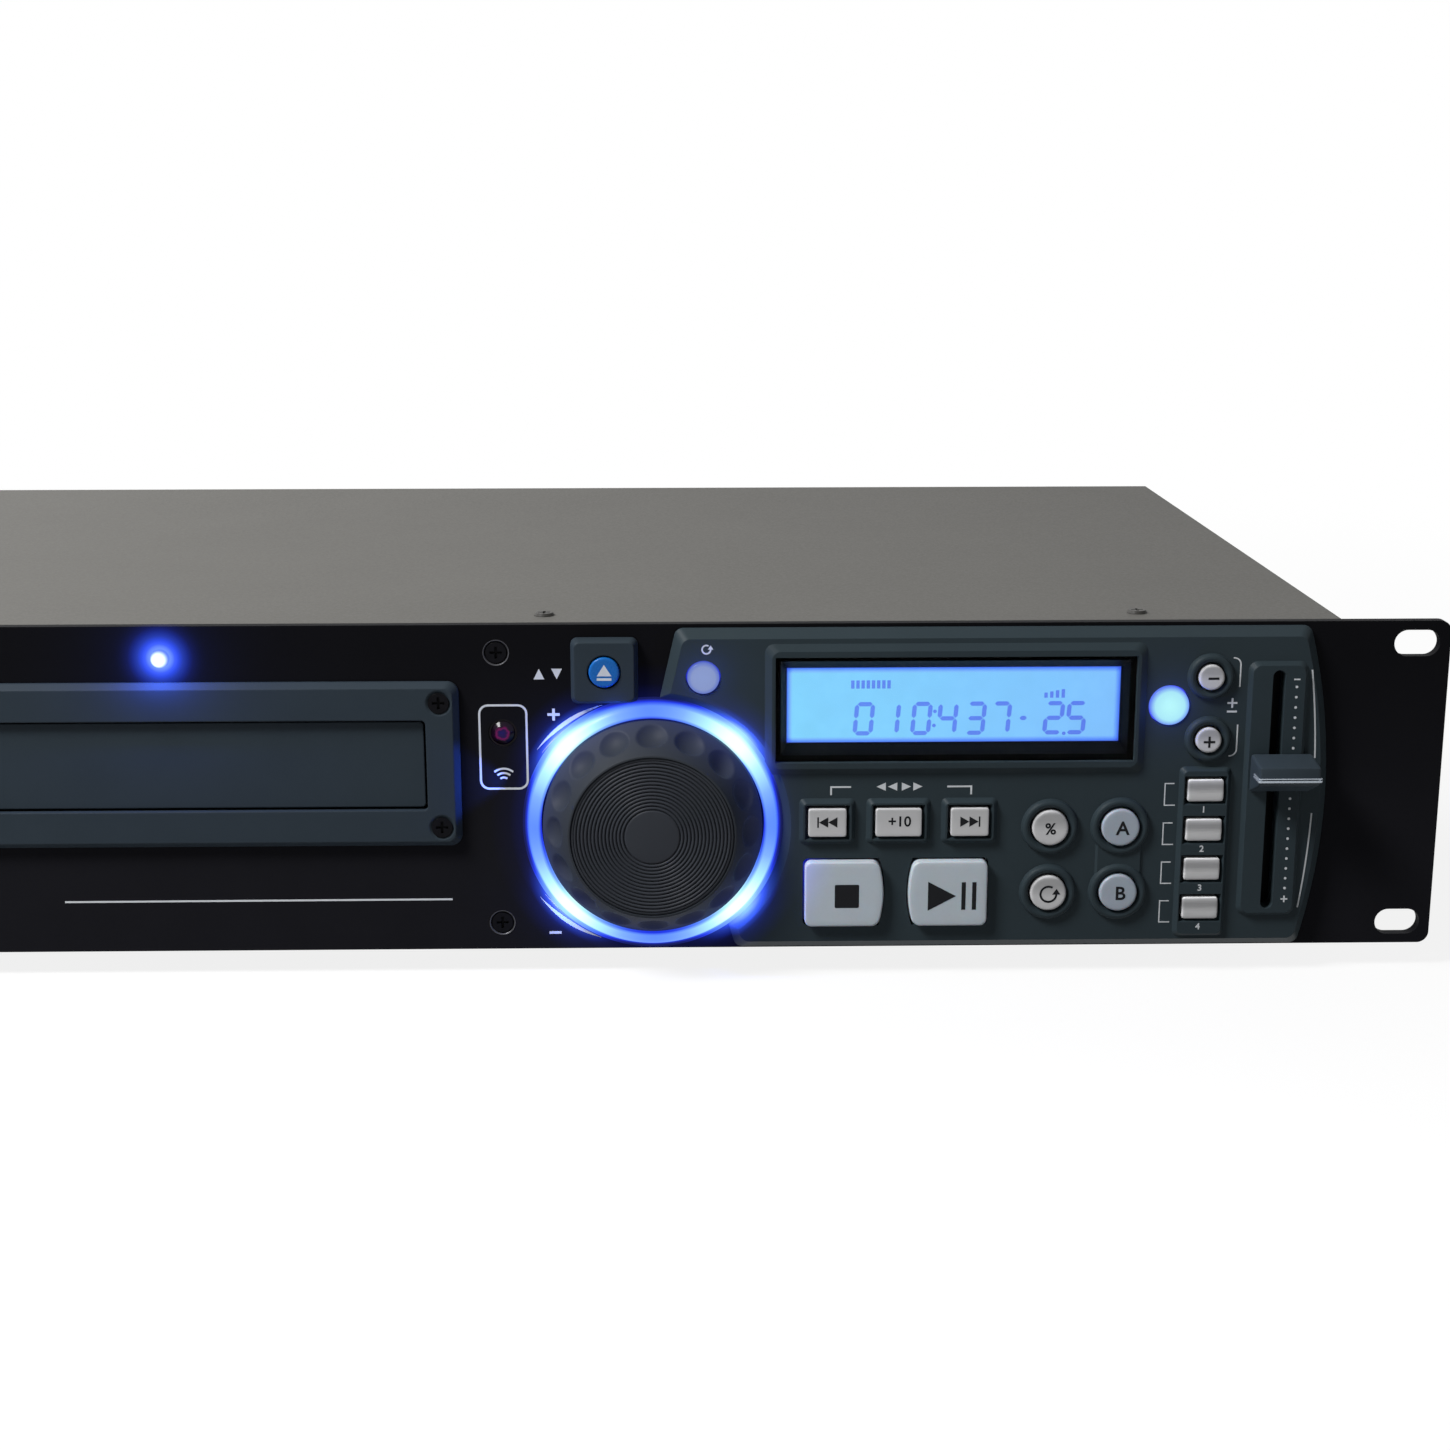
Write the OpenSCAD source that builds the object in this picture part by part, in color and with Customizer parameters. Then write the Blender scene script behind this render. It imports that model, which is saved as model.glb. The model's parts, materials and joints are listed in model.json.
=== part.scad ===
// Rack-mount disc player, two rack units high, with a disc tray, a jog wheel and a pitch fader.
// Millimetres. +X is to the right seen from the front, +Y to the back, +Z up.
// The origin is the centre of the four rack slots, on the back face of the front panel.

/* [Rack panel] */
// Width of the front panel over both rack ears
panel_w = 482.6; // [478:0.1:490]
// Height of the front panel
panel_h = 88.1; // [87:0.1:92]
// Thickness of the front panel
panel_t = 3; // [2:0.1:5]
// Corner radius of the front panel
panel_r = 3; // [1:0.1:5]
// Distance of the rack slots' centres from the panel's ends
slot_inset_x = 8.75; // [7.6:0.05:10]
// Distance of the rack slots' centres from the panel's top and bottom edges
slot_inset_z = 5.95; // [5:0.05:9]
// Length of a rack slot
slot_l = 12; // [8:0.1:14]
// Width of a rack slot
slot_w = 7; // [5:0.1:8]

/* [Case] */
// Width of the case over the cover's sides
case_w = 429.2; // [428:0.1:446]
// Depth of the case behind the front panel
case_d = 262; // [250:1:340]
// Drop of the cover's top below the panel's top edge
cover_drop = 1; // [0.5:0.1:3]
// Rise of the pan's underside above the panel's bottom edge
pan_rise = 1.1; // [0.5:0.1:3]
// Sheet thickness of the top cover
cover_t = 1; // [0.8:0.1:2]
// Sheet thickness of the base pan and the rear panel
pan_t = 1.2; // [0.8:0.1:2]
// Width of the pan's folded flanges
flange_w = 22; // [18:0.5:30]
// Spacing of the screws along the cover's front edge
cover_screw_pitch = 158; // [100:1:180]
// Place of the middle cover screw across the case
cover_screw_x = 4.6; // [-20:0.1:20]
// Distance of the cover screws behind the panel
cover_screw_y = 15; // [10:0.5:18]
// Number of ventilation slots in each side
vent_count = 12; // [4:1:16]
// Spacing of the ventilation slots
vent_pitch = 7; // [5:0.5:9]
// Diameter of a rubber foot
foot_d = 20; // [12:0.5:30]
// Height of a rubber foot
foot_h = 8; // [4:0.5:14]
// Distance of the feet from the case's sides and ends
foot_inset = 36; // [20:1:60]

/* [Screws] */
// Diameter of a screw's shank
screw_d = 2.9; // [2.4:0.1:3.2]
// Diameter of a screw's head
screw_head_d = 5.5; // [5:0.1:6.2]
// Depth of a countersunk head
screw_head_h = 1.4; // [1.2:0.1:1.7]
// Width of the chamfer around a countersunk head
screw_chamfer = 0.6; // [0.2:0.1:0.8]
// Height of the screws' place above and below the panel's centre
panel_screw_z = 36.7; // [34:0.1:38]
// Place of the screws beside the remote sensor
panel_screw_right_x = -7; // [-9:0.1:-5]
// Place of the screws left of the tray
panel_screw_left_x = -196; // [-202:0.5:-192]

/* [Tray and its bezel] */
// Place of the tray's centre across the panel
tray_x = -100.5; // [-103:0.5:-100]
// Height of the tray window's centre
tray_z = 7.2; // [5:0.1:9]
// Width of the window in the tray bezel
window_w = 150; // [147:0.5:153]
// Height of the window in the tray bezel
window_h = 24.3; // [23:0.1:26]
// Corner radius of the window
window_r = 1.2; // [0.4:0.1:1.4]
// Width of the bezel's border at the sides of the window
bezel_side = 8.6; // [7.5:0.1:9.5]
// Width of the bezel's border above and below the window
bezel_cheek = 9.95; // [8.5:0.05:12]
// Height of the bezel above the panel
bezel_proud = 2.6; // [2.2:0.1:4]
// Width of the bezel's bevel
bezel_bevel = 1.5; // [0.5:0.1:2]
// Corner radius of the bezel
bezel_r = 3; // [2.2:0.1:5]
// Depth of the tray front below the bezel's face
tray_recess = 1.6; // [0.5:0.1:2.2]
// Gap around the tray front
tray_gap = 0.7; // [0.4:0.1:1.2]
// Thickness of the tray front
tray_front_t = 3.6; // [2.5:0.1:4.5]
// Width of the disc tray
tray_w = 132; // [128:0.5:133]
// Length of the disc tray behind its front
tray_len = 178; // [172:0.5:184]
// Travel of the tray
tray_travel = 138; // [125:1:140]
// Diameter of the disc recess
recess_d = 122; // [121:0.1:124]
// Diameter of the inner recess for small discs
small_recess_d = 82; // [80:0.5:90]
// Place of the disc's centre behind the panel
disc_y = 72; // [70:0.5:75]
// Thickness of the tray's deck
deck_t = 3; // [2.6:0.1:3.6]
// Height of the tray's rim above its recess
rim_h = 2; // [1.5:0.1:2.2]

/* [Control bezel] */
// Height of the control bezel above the panel
control_proud = 4; // [3:0.1:5]
// Width of the control bezel's bevel
control_bevel = 2.3; // [1:0.1:3]
// Margin of the control bezel to the panel's top edge
control_margin = 0.95; // [0.8:0.05:2]
// Margin of the control bezel to the panel's bottom edge
control_foot = 0.6; // [0.5:0.05:2]
// Place of the control bezel's furthest edge to the right
control_right = 210.6; // [210:0.1:212]
// Radius of the control bezel's curved right side
control_arc_r = 163; // [140:1:200]
// Height of the raised collars around the keys
collar_h = 1.4; // [0.4:0.1:1.6]
// Width of a collar around a key
collar_w = 2.4; // [1.8:0.1:2.6]
// Slope of a collar's inner side, across
collar_flare = 0.5; // [0.2:0.1:0.7]
// Height of the keys above the collars
key_proud = 0.5; // [0.3:0.1:1.6]
// Gap between a key and its opening
key_gap = 0.4; // [0.2:0.05:0.45]
// Travel of a key
key_travel = 0.8; // [0.4:0.1:1]
// Width of the lip that holds a key behind its opening
key_lip = 0.8; // [0.6:0.1:1]
// Thickness of the lip
key_lip_t = 1; // [0.8:0.1:1.4]
// Distance of the control board behind the panel
board_y = 9; // [8:0.1:12]

/* [Keys] */
// Centre of the track keys' row, across
track_x = 97.6; // [97:0.1:98.5]
// Height of the track keys' row
track_z = -8; // [-9:0.1:-7.5]
// Spacing of the track keys
track_pitch = 18.65; // [17.5:0.05:19]
// Width of the two outer track keys
track_key_w = 10; // [8:0.1:11]
// Width of the middle track key
ten_key_w = 12.1; // [10:0.1:13]
// Height of the track keys
track_key_h = 7.6; // [6:0.1:8]
// Centre of the two large keys, across
large_x = 97.2; // [97:0.1:98]
// Height of the large keys' row
large_z = -27.5; // [-28.5:0.1:-27]
// Spacing of the large keys
large_pitch = 27.4; // [26.5:0.1:28]
// Width of a large key
large_w = 20.8; // [18:0.1:21]
// Height of a large key
large_h = 17.8; // [15:0.1:18.5]
// Bulge of a large key's curved side
large_bulge = 1.4; // [1:0.1:3]
// Place of the left column of round keys
round_left_x = 137.5; // [137:0.1:138]
// Place of the right column of round keys
round_right_x = 156; // [155:0.1:156.5]
// Height of the upper round keys
round_top_z = -9.8; // [-10.5:0.1:-9.5]
// Height of the lower round keys
round_bottom_z = -27.7; // [-28.5:0.1:-27]
// Diameter of the left round keys
round_left_d = 9.5; // [8:0.1:10]
// Diameter of the right round keys
round_right_d = 10; // [8.5:0.1:10.2]
// Place of the mode keys' column
mode_x = 177.9; // [177.5:0.1:178.5]
// Height of the top mode key
mode_top_z = 0.1; // [-0.5:0.1:0.5]
// Spacing of the mode keys
mode_pitch = 10.75; // [10.2:0.05:11]
// Width of a mode key
mode_w = 9.4; // [8:0.1:10.4]
// Height of a mode key
mode_h = 6; // [5:0.1:6.4]
// Margin of the raised strip at the sides of the mode keys
mode_margin_x = 2.1; // [1.5:0.1:2.6]
// Margin of the raised strip above and below the mode keys
mode_margin_z = 3.2; // [2:0.1:3.6]
// Room below the lowest mode key on the raised strip, on top of its margin
mode_foot = 2; // [0:0.1:3]
// Place of the two bend keys
bend_x = 178; // [177.5:0.1:178.5]
// Height of the upper bend key
bend_top_z = 30.4; // [30:0.1:31]
// Height of the lower bend key
bend_bottom_z = 13.7; // [13.4:0.1:14.2]
// Diameter of a bend key
bend_d = 6.7; // [5.5:0.1:7]
// Place of the lit pitch key
lit_x = 167.7; // [167.2:0.1:168]
// Height of the lit pitch key
lit_z = 22.6; // [22:0.1:23.8]
// Diameter of the lit pitch key
lit_d = 10.2; // [8.5:0.1:10.4]
// Place of the jog mode key
jog_key_x = 46.6; // [46:0.1:47.4]
// Height of the jog mode key
jog_key_z = 30.6; // [30.2:0.1:31.2]
// Diameter of the jog mode key
jog_key_d = 8.3; // [6.5:0.1:8.6]
// Place of the eject key
eject_x = 21; // [20.4:0.1:21.4]
// Height of the eject key
eject_z = 32; // [31.6:0.1:32.8]
// Diameter of the eject key
eject_d = 8; // [6.5:0.1:9]
// Side of the square plate around the eject key
eject_plate_w = 17.4; // [15:0.1:17.6]
// Height of the eject plate above the panel
eject_proud = 3; // [2:0.1:4]

/* [Display] */
// Place of the display's centre across
display_x = 112; // [111.6:0.1:112.8]
// Height of the display's centre
display_z = 22.1; // [21:0.1:22.4]
// Width of the display opening
display_w = 93.6; // [90:0.1:94.2]
// Height of the display opening
display_h = 28; // [26:0.1:29]
// Width of the lit area
lit_area_w = 87.2; // [80:0.1:88]
// Height of the lit area
lit_area_h = 20; // [17:0.1:22]
// Width of the raised frame around the opening
display_rim = 2.7; // [2:0.1:3]
// Width of the raised rim above and below the display
display_brow = 3.4; // [2.6:0.1:3.6]
// Thickness of the clear pane
lens_t = 1.2; // [0.8:0.1:1.6]

/* [Jog wheel] */
// Place of the jog wheel across
jog_x = 33.2; // [33:0.1:33.4]
// Height of the jog wheel's axis
jog_z = -9.4; // [-9.6:0.1:-9.2]
// Outer diameter of the light ring
ring_d = 66.2; // [65:0.1:66.6]
// Radial width of the light ring
ring_w = 3.8; // [3:0.1:5]
// Height of the light ring above the panel
ring_proud = 3.7; // [2.5:0.1:4.5]
// Gap between the light ring and what is round and inside it
ring_gap = 0.5; // [0.3:0.1:0.8]
// Gap between the light ring and the control bezel
ring_margin = 1.2; // [0.8:0.1:1.4]
// Height of the wheel's top above the panel
wheel_proud = 13.5; // [11:0.1:16]
// Diameter of the wheel's flat top
wheel_top_d = 44; // [40:0.1:46]
// Diameter of the grooved insert
insert_d = 42.4; // [38:0.1:43]
// Diameter of the plain middle of the insert
insert_plain_d = 14.8; // [10:0.1:18]
// Number of grooves in the insert
groove_count = 14; // [8:1:18]
// Number of finger dimples
dimple_count = 16; // [8:1:18]
// Diameter of a finger dimple
dimple_d = 7; // [5:0.1:7.6]
// Diameter of the wheel's shaft
jog_shaft_d = 6; // [5:0.1:7]

/* [Pitch fader] */
// Place of the fader across
fader_x = 197.2; // [196.8:0.1:197.6]
// Height of the fader slot's middle
fader_z = -0.1; // [-1:0.1:0.5]
// Length of the fader slot
fader_slot_l = 64.6; // [60:0.1:65]
// Width of the fader slot
fader_slot_w = 3.3; // [2.6:0.1:4]
// Shift of the slot and its raised plate from the middle of the fader cap
fader_slot_shift = -1.6; // [-2:0.1:0]
// Width of the raised fader plate
fader_plate_w = 15.6; // [13:0.1:16]
// Height of the raised fader plate
fader_plate_h = 69; // [67:0.1:72]
// Height of the cap above the slot's middle at rest
fader_rest = 5.1; // [-20:0.1:20]
// Width of the fader cap
cap_w = 16.6; // [12:0.1:17]
// Height of the fader cap
cap_h = 10.2; // [8:0.1:12]
// Height of the fader cap above the fader plate
cap_proud = 10.5; // [8:0.1:13]

/* [Lamps] */
// Place of the status lamp across
led_x = -93.5; // [-95:0.5:-92]
// Height of the status lamp
led_z = 35.6; // [35:0.1:36.5]
// Diameter of the status lamp
led_d = 4.8; // [3:0.1:5]
// Place of the remote sensor across
sensor_x = -5.7; // [-6.2:0.1:-5]
// Height of the remote sensor
sensor_z = 15.3; // [14:0.1:17]
// Diameter of the remote sensor
sensor_d = 7.2; // [5:0.1:8]

/* [Disc mechanism] */
// Tooth size of the tray drive
gear_m = 1; // [0.9:0.05:1.05]
// Teeth of the tray gear
tray_gear_teeth = 20; // [20:2:22]
// Teeth of the gear on the pulley
pulley_gear_teeth = 16; // [16:2:18]
// Diameter of the large pulley
pulley_d = 30; // [27:0.5:31]
// Diameter of the motor's pulley
motor_pulley_d = 8; // [6.5:0.1:9]
// Distance between the two pulleys
pulley_span = 38; // [34:0.5:42]
// Thickness of the belt
belt_t = 1.6; // [1:0.1:1.8]
// Diameter of the loading motor
load_motor_d = 24; // [18:0.5:26]
// Diameter of the disc platform
platform_d = 29; // [24:0.5:32]
// Diameter of the clamp puck
puck_d = 24; // [20:0.5:28]
// Diameter of the spindle motor
spindle_d = 22; // [18:0.5:26]
// Diameter of a guide rod
rod_d = 3; // [2:0.1:3.4]
// Travel of the laser sled
sled_travel = 34; // [30:0.5:36]
// Diameter of the sled motor
sled_motor_d = 10; // [8:0.1:10.6]

/* [Hidden] */
$fn = 48;

// Clearances
touch = 0.1;
run = 0.3;
bore_fit = 0.06;
backlash = 0.12;

// Planes along Y
face_y = -panel_t;
bezel_y = face_y - bezel_proud;
control_y = face_y - control_proud;
collar_y = control_y - collar_h;
key_y = collar_y - key_proud;
board_t = 1.6;
switch_h = 5;
switch_w = 6;
plunger_d = 3.4;
stem_d = 3;
stem_end_y = board_y - switch_h - key_travel - touch;
rear_y = case_d - pan_t;

// Levels along Z
cover_top = panel_h / 2 - cover_drop;
cover_under = cover_top - cover_t;
pan_under = -panel_h / 2 + pan_rise;
floor_z = pan_under + pan_t;
pan_half = case_w / 2 - cover_t - touch;
wall_strip = 8.9;
rail_top = cover_under - touch;

// Disc mechanism
recess_z = tray_z - 1.2;
rim_z = recess_z + rim_h;
deck_z = recess_z - deck_t;
skirt_h = 4;
tray_front_y = bezel_y + tray_recess;
tray_body_y = tray_front_y + tray_front_t;
tray_end_y = tray_body_y + tray_len;
loader_y0 = 6;
loader_end_y = tray_end_y + 14;
loader_wall = 3.6;
loader_in = tray_w / 2 + run;
loader_out = loader_in + loader_wall;
loader_floor_z = recess_z - 20;
loader_floor_t = 2;
lip_t = 2.5;
lip_reach = 3.4;
gear_y = 22;
gear_h = 5;
gear_top_z = deck_z - 2;
rack_root_x = -52;
rack_pitch_x = rack_root_x + 1.25 * gear_m;
tray_gear_r = gear_m * tray_gear_teeth / 2;
pulley_gear_r = gear_m * pulley_gear_teeth / 2;
tray_gear_x = rack_pitch_x + tray_gear_r + touch / 2;
pulley_x = tray_gear_x + tray_gear_r + pulley_gear_r + touch;
motor_x = pulley_x + pulley_span;
post_d = 3;
tray_boss_d = 5;
pulley_boss_d = 7;
pulley_z = loader_floor_z + loader_floor_t + 2;
belt_h = 2;
cheek_t = 1;
groove_h = belt_h + 0.6;
pulley_h = groove_h + 2 * cheek_t;
belt_z = pulley_z + cheek_t + 0.3;
motor_groove_r = motor_pulley_d / 2 - 1.2;
pulley_groove_r = pulley_d / 2 - 2;
slot_half = platform_d / 2 + 5.5;
clamp_z = rim_z + 7;
clamp_t = 1.5;
traverse_t = 1.5;
traverse_z = deck_z - 3;
traverse_half = 40;
traverse_y0 = disc_y - 18;
traverse_end_y = disc_y + 110;
pivot_y = traverse_end_y - 6;
pivot_z = traverse_z - 8.5;
pivot_d = 4;
pivot_wall = 5;
rod_x = 26;
rod_z = traverse_z - 4.5;
rod_y0 = disc_y - 6;
rod_end_y = disc_y + 92;
lug_t = 4;
screw_x = 34;
screw_z = traverse_z - 5.6;
lead_d = 3;
sled_motor_y = disc_y + 78;
sled_motor_l = 18;
sled_y = disc_y + 16;
sled_l = 28;
sled_half = 22;
sled_h = 8;
lens_y = sled_y + 8;

// Finger dimples
dimple_depth = 1;
dimple_r = (pow(dimple_d / 2, 2) + pow(dimple_depth, 2)) / (2 * dimple_depth);
dimple_lift = dimple_r - dimple_depth;

// Boards and the rear
spacer_h = 6;
spacer_d = 6;
spacer_inset = 5;
board_back = 12;
board_gap = 13;
supply_w = 76;
supply_l = 112;
supply_gap = 8.3;
supply_x0 = pan_half - pan_t - supply_gap - supply_w;
transformer_h = 40;
winding_h = 24;
filter_cap_d = 12;
filter_cap_h = 22;
filter_cap_pitch = 16;
main_x0 = 2;
main_w = supply_x0 - board_gap - main_x0;
main_l = 128;
chip_w = 24;
small_chip_w = 14;
chip_h = 2;
can_d = 6;
can_h = 10;
can_pitch = 9;
plug_w = 30;
plug_h = 6;
plug_t = 5;
plug_x = 75;
plug_z = -31;
ribbon_t = 0.6;
ribbon_edge = 2;
loader_plug_w = 24;
supply_plug_w = 20;
inlet_inset = 63.5;
inlet_x = pan_half - inlet_inset;
inlet_z = -14;
inlet_w = 62;
inlet_h = 31;
inlet_flange_t = 2.4;
socket_w = 24.4;
socket_h = 16.4;
socket_d = 17;
rocker_w = 13;
rocker_h = 20;
rocker_tilt = 9;
rocker_x = inlet_x + inlet_w / 2 - 12;
rocker_axis_y = case_d - 2;
rocker_pin_d = 2.4;
rocker_pin_l = 1.5;
jack_x = 30;
jack_z = -14;
jack_pitch = 16;
jack_count = 3;
jack_d = 8.3;
jack_l = 9;

// Places of the keys on the panel, as [x, z]
eject_at = [eject_x, eject_z];
jog_key_at = [jog_key_x, jog_key_z];
back_at = [track_x - track_pitch, track_z];
ten_at = [track_x, track_z];
next_at = [track_x + track_pitch, track_z];
cue_at = [large_x - large_pitch / 2, large_z];
play_at = [large_x + large_pitch / 2, large_z];
pitch_at = [round_left_x, round_top_z];
reloop_at = [round_left_x, round_bottom_z];
in_at = [round_right_x, round_top_z];
out_at = [round_right_x, round_bottom_z];
down_at = [bend_x, bend_top_z];
up_at = [bend_x, bend_bottom_z];
lit_at = [lit_x, lit_z];
function mode_at(i) = [mode_x, mode_top_z - i * mode_pitch];

jog_at = [jog_x, jog_z];
tray_at = [tray_x, tray_z];
led_at = [led_x, led_z];
sensor_at = [sensor_x, sensor_z];
display_at = [display_x, display_z];
fader_slot_at = [fader_x + fader_slot_shift, fader_z];

round_keys = [
    [pitch_at, round_left_d], [reloop_at, round_left_d], [in_at, round_right_d],
    [out_at, round_right_d], [down_at, bend_d], [up_at, bend_d], [lit_at, lit_d],
    [jog_key_at, jog_key_d]
];
rect_keys = concat(
    [
        [back_at, track_key_w, track_key_h], [ten_at, ten_key_w, track_key_h],
        [next_at, track_key_w, track_key_h]
    ],
    [for (i = [0:3]) [mode_at(i), mode_w, mode_h]]
);
switch_places = concat(
    [for (k = round_keys) k[0]], [for (k = rect_keys) k[0]], [cue_at, play_at, eject_at]
);
panel_screw_places = [
    for (x = [panel_screw_left_x, panel_screw_right_x], s = [-1, 1]) [x, s * panel_screw_z]
];
bezel_screw_x = window_w / 2 + bezel_side * 0.41;
bezel_screw_z = window_h / 2 + bezel_cheek * 0.46;
bezel_screw_places = [
    for (s = [-1, 1], t = [-1, 1]) [tray_x + s * bezel_screw_x, tray_z + t * bezel_screw_z]
];
cover_screw_xs = [for (i = [-1:1]) cover_screw_x + i * cover_screw_pitch];
side_screw_ys = [40, case_d - 40];
side_screw_z = floor_z + flange_w / 2;
board_post_places = [
    for (x = [panel_screw_right_x - 4, case_w / 2 - 4.6], s = [-1, 1]) [x, s * 26]
];
main_y0 = case_d - board_back - main_l;
supply_y0 = case_d - board_back - supply_l;
board_z = floor_z + spacer_h;
loader_plug_y = main_y0 + 42;
supply_plug_y = main_y0 + 50;

// Helpers

// Extrudes a flat shape drawn in X and Z from y0 to y1
module along_y(y0, y1) {
    translate([0, y1, 0]) rotate([90, 0, 0]) linear_extrude(height = y1 - y0) children();
}

// Extrudes a flat shape drawn in Y and Z from x0 to x1
module along_x(x0, x1) {
    translate([x0, 0, 0]) rotate([90, 0, 90]) linear_extrude(height = x1 - x0) children();
}

// A round bar along Y from y0 to y1
module rod_y(r, y0, y1) {
    translate([0, y0, 0]) rotate([-90, 0, 0]) cylinder(r = r, h = y1 - y0);
}

// A cone along Y with radius r0 at y0 and r1 at y1
module cone_y(r0, r1, y0, y1) {
    translate([0, y0, 0]) rotate([-90, 0, 0]) cylinder(r1 = r0, r2 = r1, h = y1 - y0);
}

// A block between two corners
module block(a, b) {
    translate(a) cube(b - a);
}

// Moves what is drawn around X and Z to a place on the panel
module at(place) {
    translate([place[0], 0, place[1]]) children();
}

// A flat rectangle with round corners, made of true arcs
module round_rect(w, h, r) {
    square([w - 2 * r, h], center = true);
    square([w, h - 2 * r], center = true);
    for (sx = [-1, 1], sz = [-1, 1]) {
        translate([sx * (w / 2 - r), sz * (h / 2 - r)]) circle(r = r);
    }
}

// A flat slot with round ends
module slot(l, w) {
    square([l - w, w], center = true);
    for (s = [-1, 1]) translate([s * (l - w) / 2, 0]) circle(d = w);
}

// A raised rectangle with sloping sides, from y back towards the viewer by h
module raised_rect(w, h, r, y, rise, slope) {
    translate([0, y, 0]) rotate([90, 0, 0])
        linear_extrude(height = rise, scale = [(w - 2 * slope) / w, (h - 2 * slope) / h], slices = 1)
            round_rect(w, h, r, $fn = 24);
}

// A Phillips recess in a screw's head, cut from the origin towards +Z
module cross_recess(depth) {
    for (a = [0, 90]) rotate([0, 0, a]) translate([-1.6, -0.35, -1]) cube([3.2, 0.7, depth + 1]);
}

// A countersunk screw whose head is flush with the plane z = 0 and whose shank points to +Z
module sunk_screw(l) {
    difference() {
        union() {
            cylinder(r1 = screw_head_d / 2, r2 = screw_d / 2, h = screw_head_h);
            cylinder(d = screw_d, h = l);
        }
        cross_recess(screw_head_h * 0.6);
    }
}

// The opening that a countersunk screw needs
module sunk_hole(l) {
    r = screw_head_d / 2 + touch;
    translate([0, 0, -1]) cylinder(r = r + screw_chamfer, h = 1);
    cylinder(r1 = r + screw_chamfer, r2 = r - screw_chamfer, h = screw_chamfer);
    cylinder(r1 = r, r2 = screw_d / 2 + touch, h = screw_head_h);
    cylinder(d = screw_d + 2 * touch, h = l);
}

// A low domed screw that stands on the plane z = 0 with its shank along -Z
module pan_screw(l) {
    difference() {
        union() {
            cylinder(r1 = screw_head_d / 2, r2 = screw_head_d / 2 - 0.4, h = 0.8);
            translate([0, 0, -l]) cylinder(d = screw_d, h = l + 0.4);
        }
        translate([0, 0, 0.8]) mirror([0, 0, 1]) cross_recess(0.5);
    }
}

// Points of an involute gear's outline, with a tooth centred on +X
function involute(a) = tan(a) * 180 / PI - a;
function gear_flank(m, z, side) = let (
    pitch_r = m * z / 2,
    base_r = pitch_r * cos(20),
    root_r = pitch_r - 1.25 * m,
    tip_r = pitch_r + m,
    start_r = max(base_r, root_r),
    half = 90 / z - backlash / pitch_r * 180 / PI / 2 + involute(20)
) [
    for (i = [-1:4]) let (
        r = i < 0 ? root_r : start_r + (tip_r - start_r) * i / 4,
        a = half - involute(acos(base_r / max(r, start_r)))
    ) r * [cos(a), side * sin(a)]
];
function turned(points, a) = [
    for (p = points) [p[0] * cos(a) - p[1] * sin(a), p[0] * sin(a) + p[1] * cos(a)]
];
function reversed(points) = [for (i = [len(points) - 1:-1:0]) points[i]];
function gear_outline(m, z) = [
    for (i = [0:z - 1], p = turned(
        concat(gear_flank(m, z, -1), reversed(gear_flank(m, z, 1))), i * 360 / z
    )) p
];

// A flat ribbon's outline: a line of points given a thickness upwards
function ribbon(points, t) = concat(points, [for (p = reversed(points)) [p[0], p[1] + t]]);

// Case

// The opening in the panel and the pan's front wall for the keys, display and fader
module controls_opening() {
    x0 = display_x - display_w / 2 - 2;
    x1 = control_right - 8;
    translate([(x0 + x1) / 2, 0]) round_rect(x1 - x0, panel_h - 12, 3);
}

// The larger opening behind it in the pan's front wall
module wall_opening() {
    x0 = sensor_x + sensor_d / 2 + 4;
    x1 = pan_half - wall_strip;
    translate([(x0 + x1) / 2, 0]) round_rect(x1 - x0, panel_h - 10, 3);
}

module front_panel() color("#151517") difference() {
    along_y(face_y, 0) difference() {
        round_rect(panel_w, panel_h, panel_r);
        for (sx = [-1, 1], sz = [-1, 1]) {
            translate([sx * (panel_w / 2 - slot_inset_x), sz * (panel_h / 2 - slot_inset_z)]) {
                slot(slot_l, slot_w);
            }
        }
        translate(tray_at) square([window_w, window_h], center = true);
        controls_opening();
        translate(jog_at) circle(d = jog_shaft_d + 8);
        translate(jog_key_at) circle(d = jog_key_d + 2 * key_lip + 2);
        translate(eject_at) circle(d = eject_d + 2 * key_lip + 2);
        translate(led_at) circle(d = led_d + 2 * touch);
        translate(sensor_at) circle(d = sensor_d + 2 * touch);
        for (p = bezel_screw_places) translate(p) circle(d = screw_d + 2 * touch);
    }
    for (p = panel_screw_places) at(p) translate([0, face_y, 0]) rotate([-90, 0, 0]) sunk_hole(10);
}

module base_pan() color("#4a4a4c") difference() {
    union() {
        block([-pan_half, 0, pan_under], [pan_half, case_d, floor_z]);
        for (s = [-1, 1]) mirror([s < 0 ? 1 : 0, 0, 0]) {
            block([pan_half - pan_t, 0, pan_under], [pan_half, rear_y - touch, floor_z + flange_w]);
        }
        block([-pan_half, 0, pan_under], [pan_half, pan_t, rail_top]);
        block([-pan_half, 0, rail_top - pan_t], [pan_half, flange_w, rail_top]);
        for (p = board_post_places) at(p) rod_y(2.6, 0, board_y);
    }
    along_y(-1, pan_t + 1) {
        translate(tray_at) square([window_w, window_h], center = true);
        wall_opening();
        translate(led_at) circle(d = led_d + 4);
        translate(sensor_at) circle(d = sensor_d + 3);
        for (p = concat(panel_screw_places, bezel_screw_places)) {
            translate(p) circle(d = screw_d + touch);
        }
    }
    for (x = cover_screw_xs) translate([x, cover_screw_y, rail_top - 5]) {
        cylinder(d = screw_d + touch, h = 10);
    }
    for (y = side_screw_ys) translate([-case_w, y, side_screw_z]) rotate([0, 90, 0]) {
        cylinder(d = screw_d + touch, h = 2 * case_w);
    }
}

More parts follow.
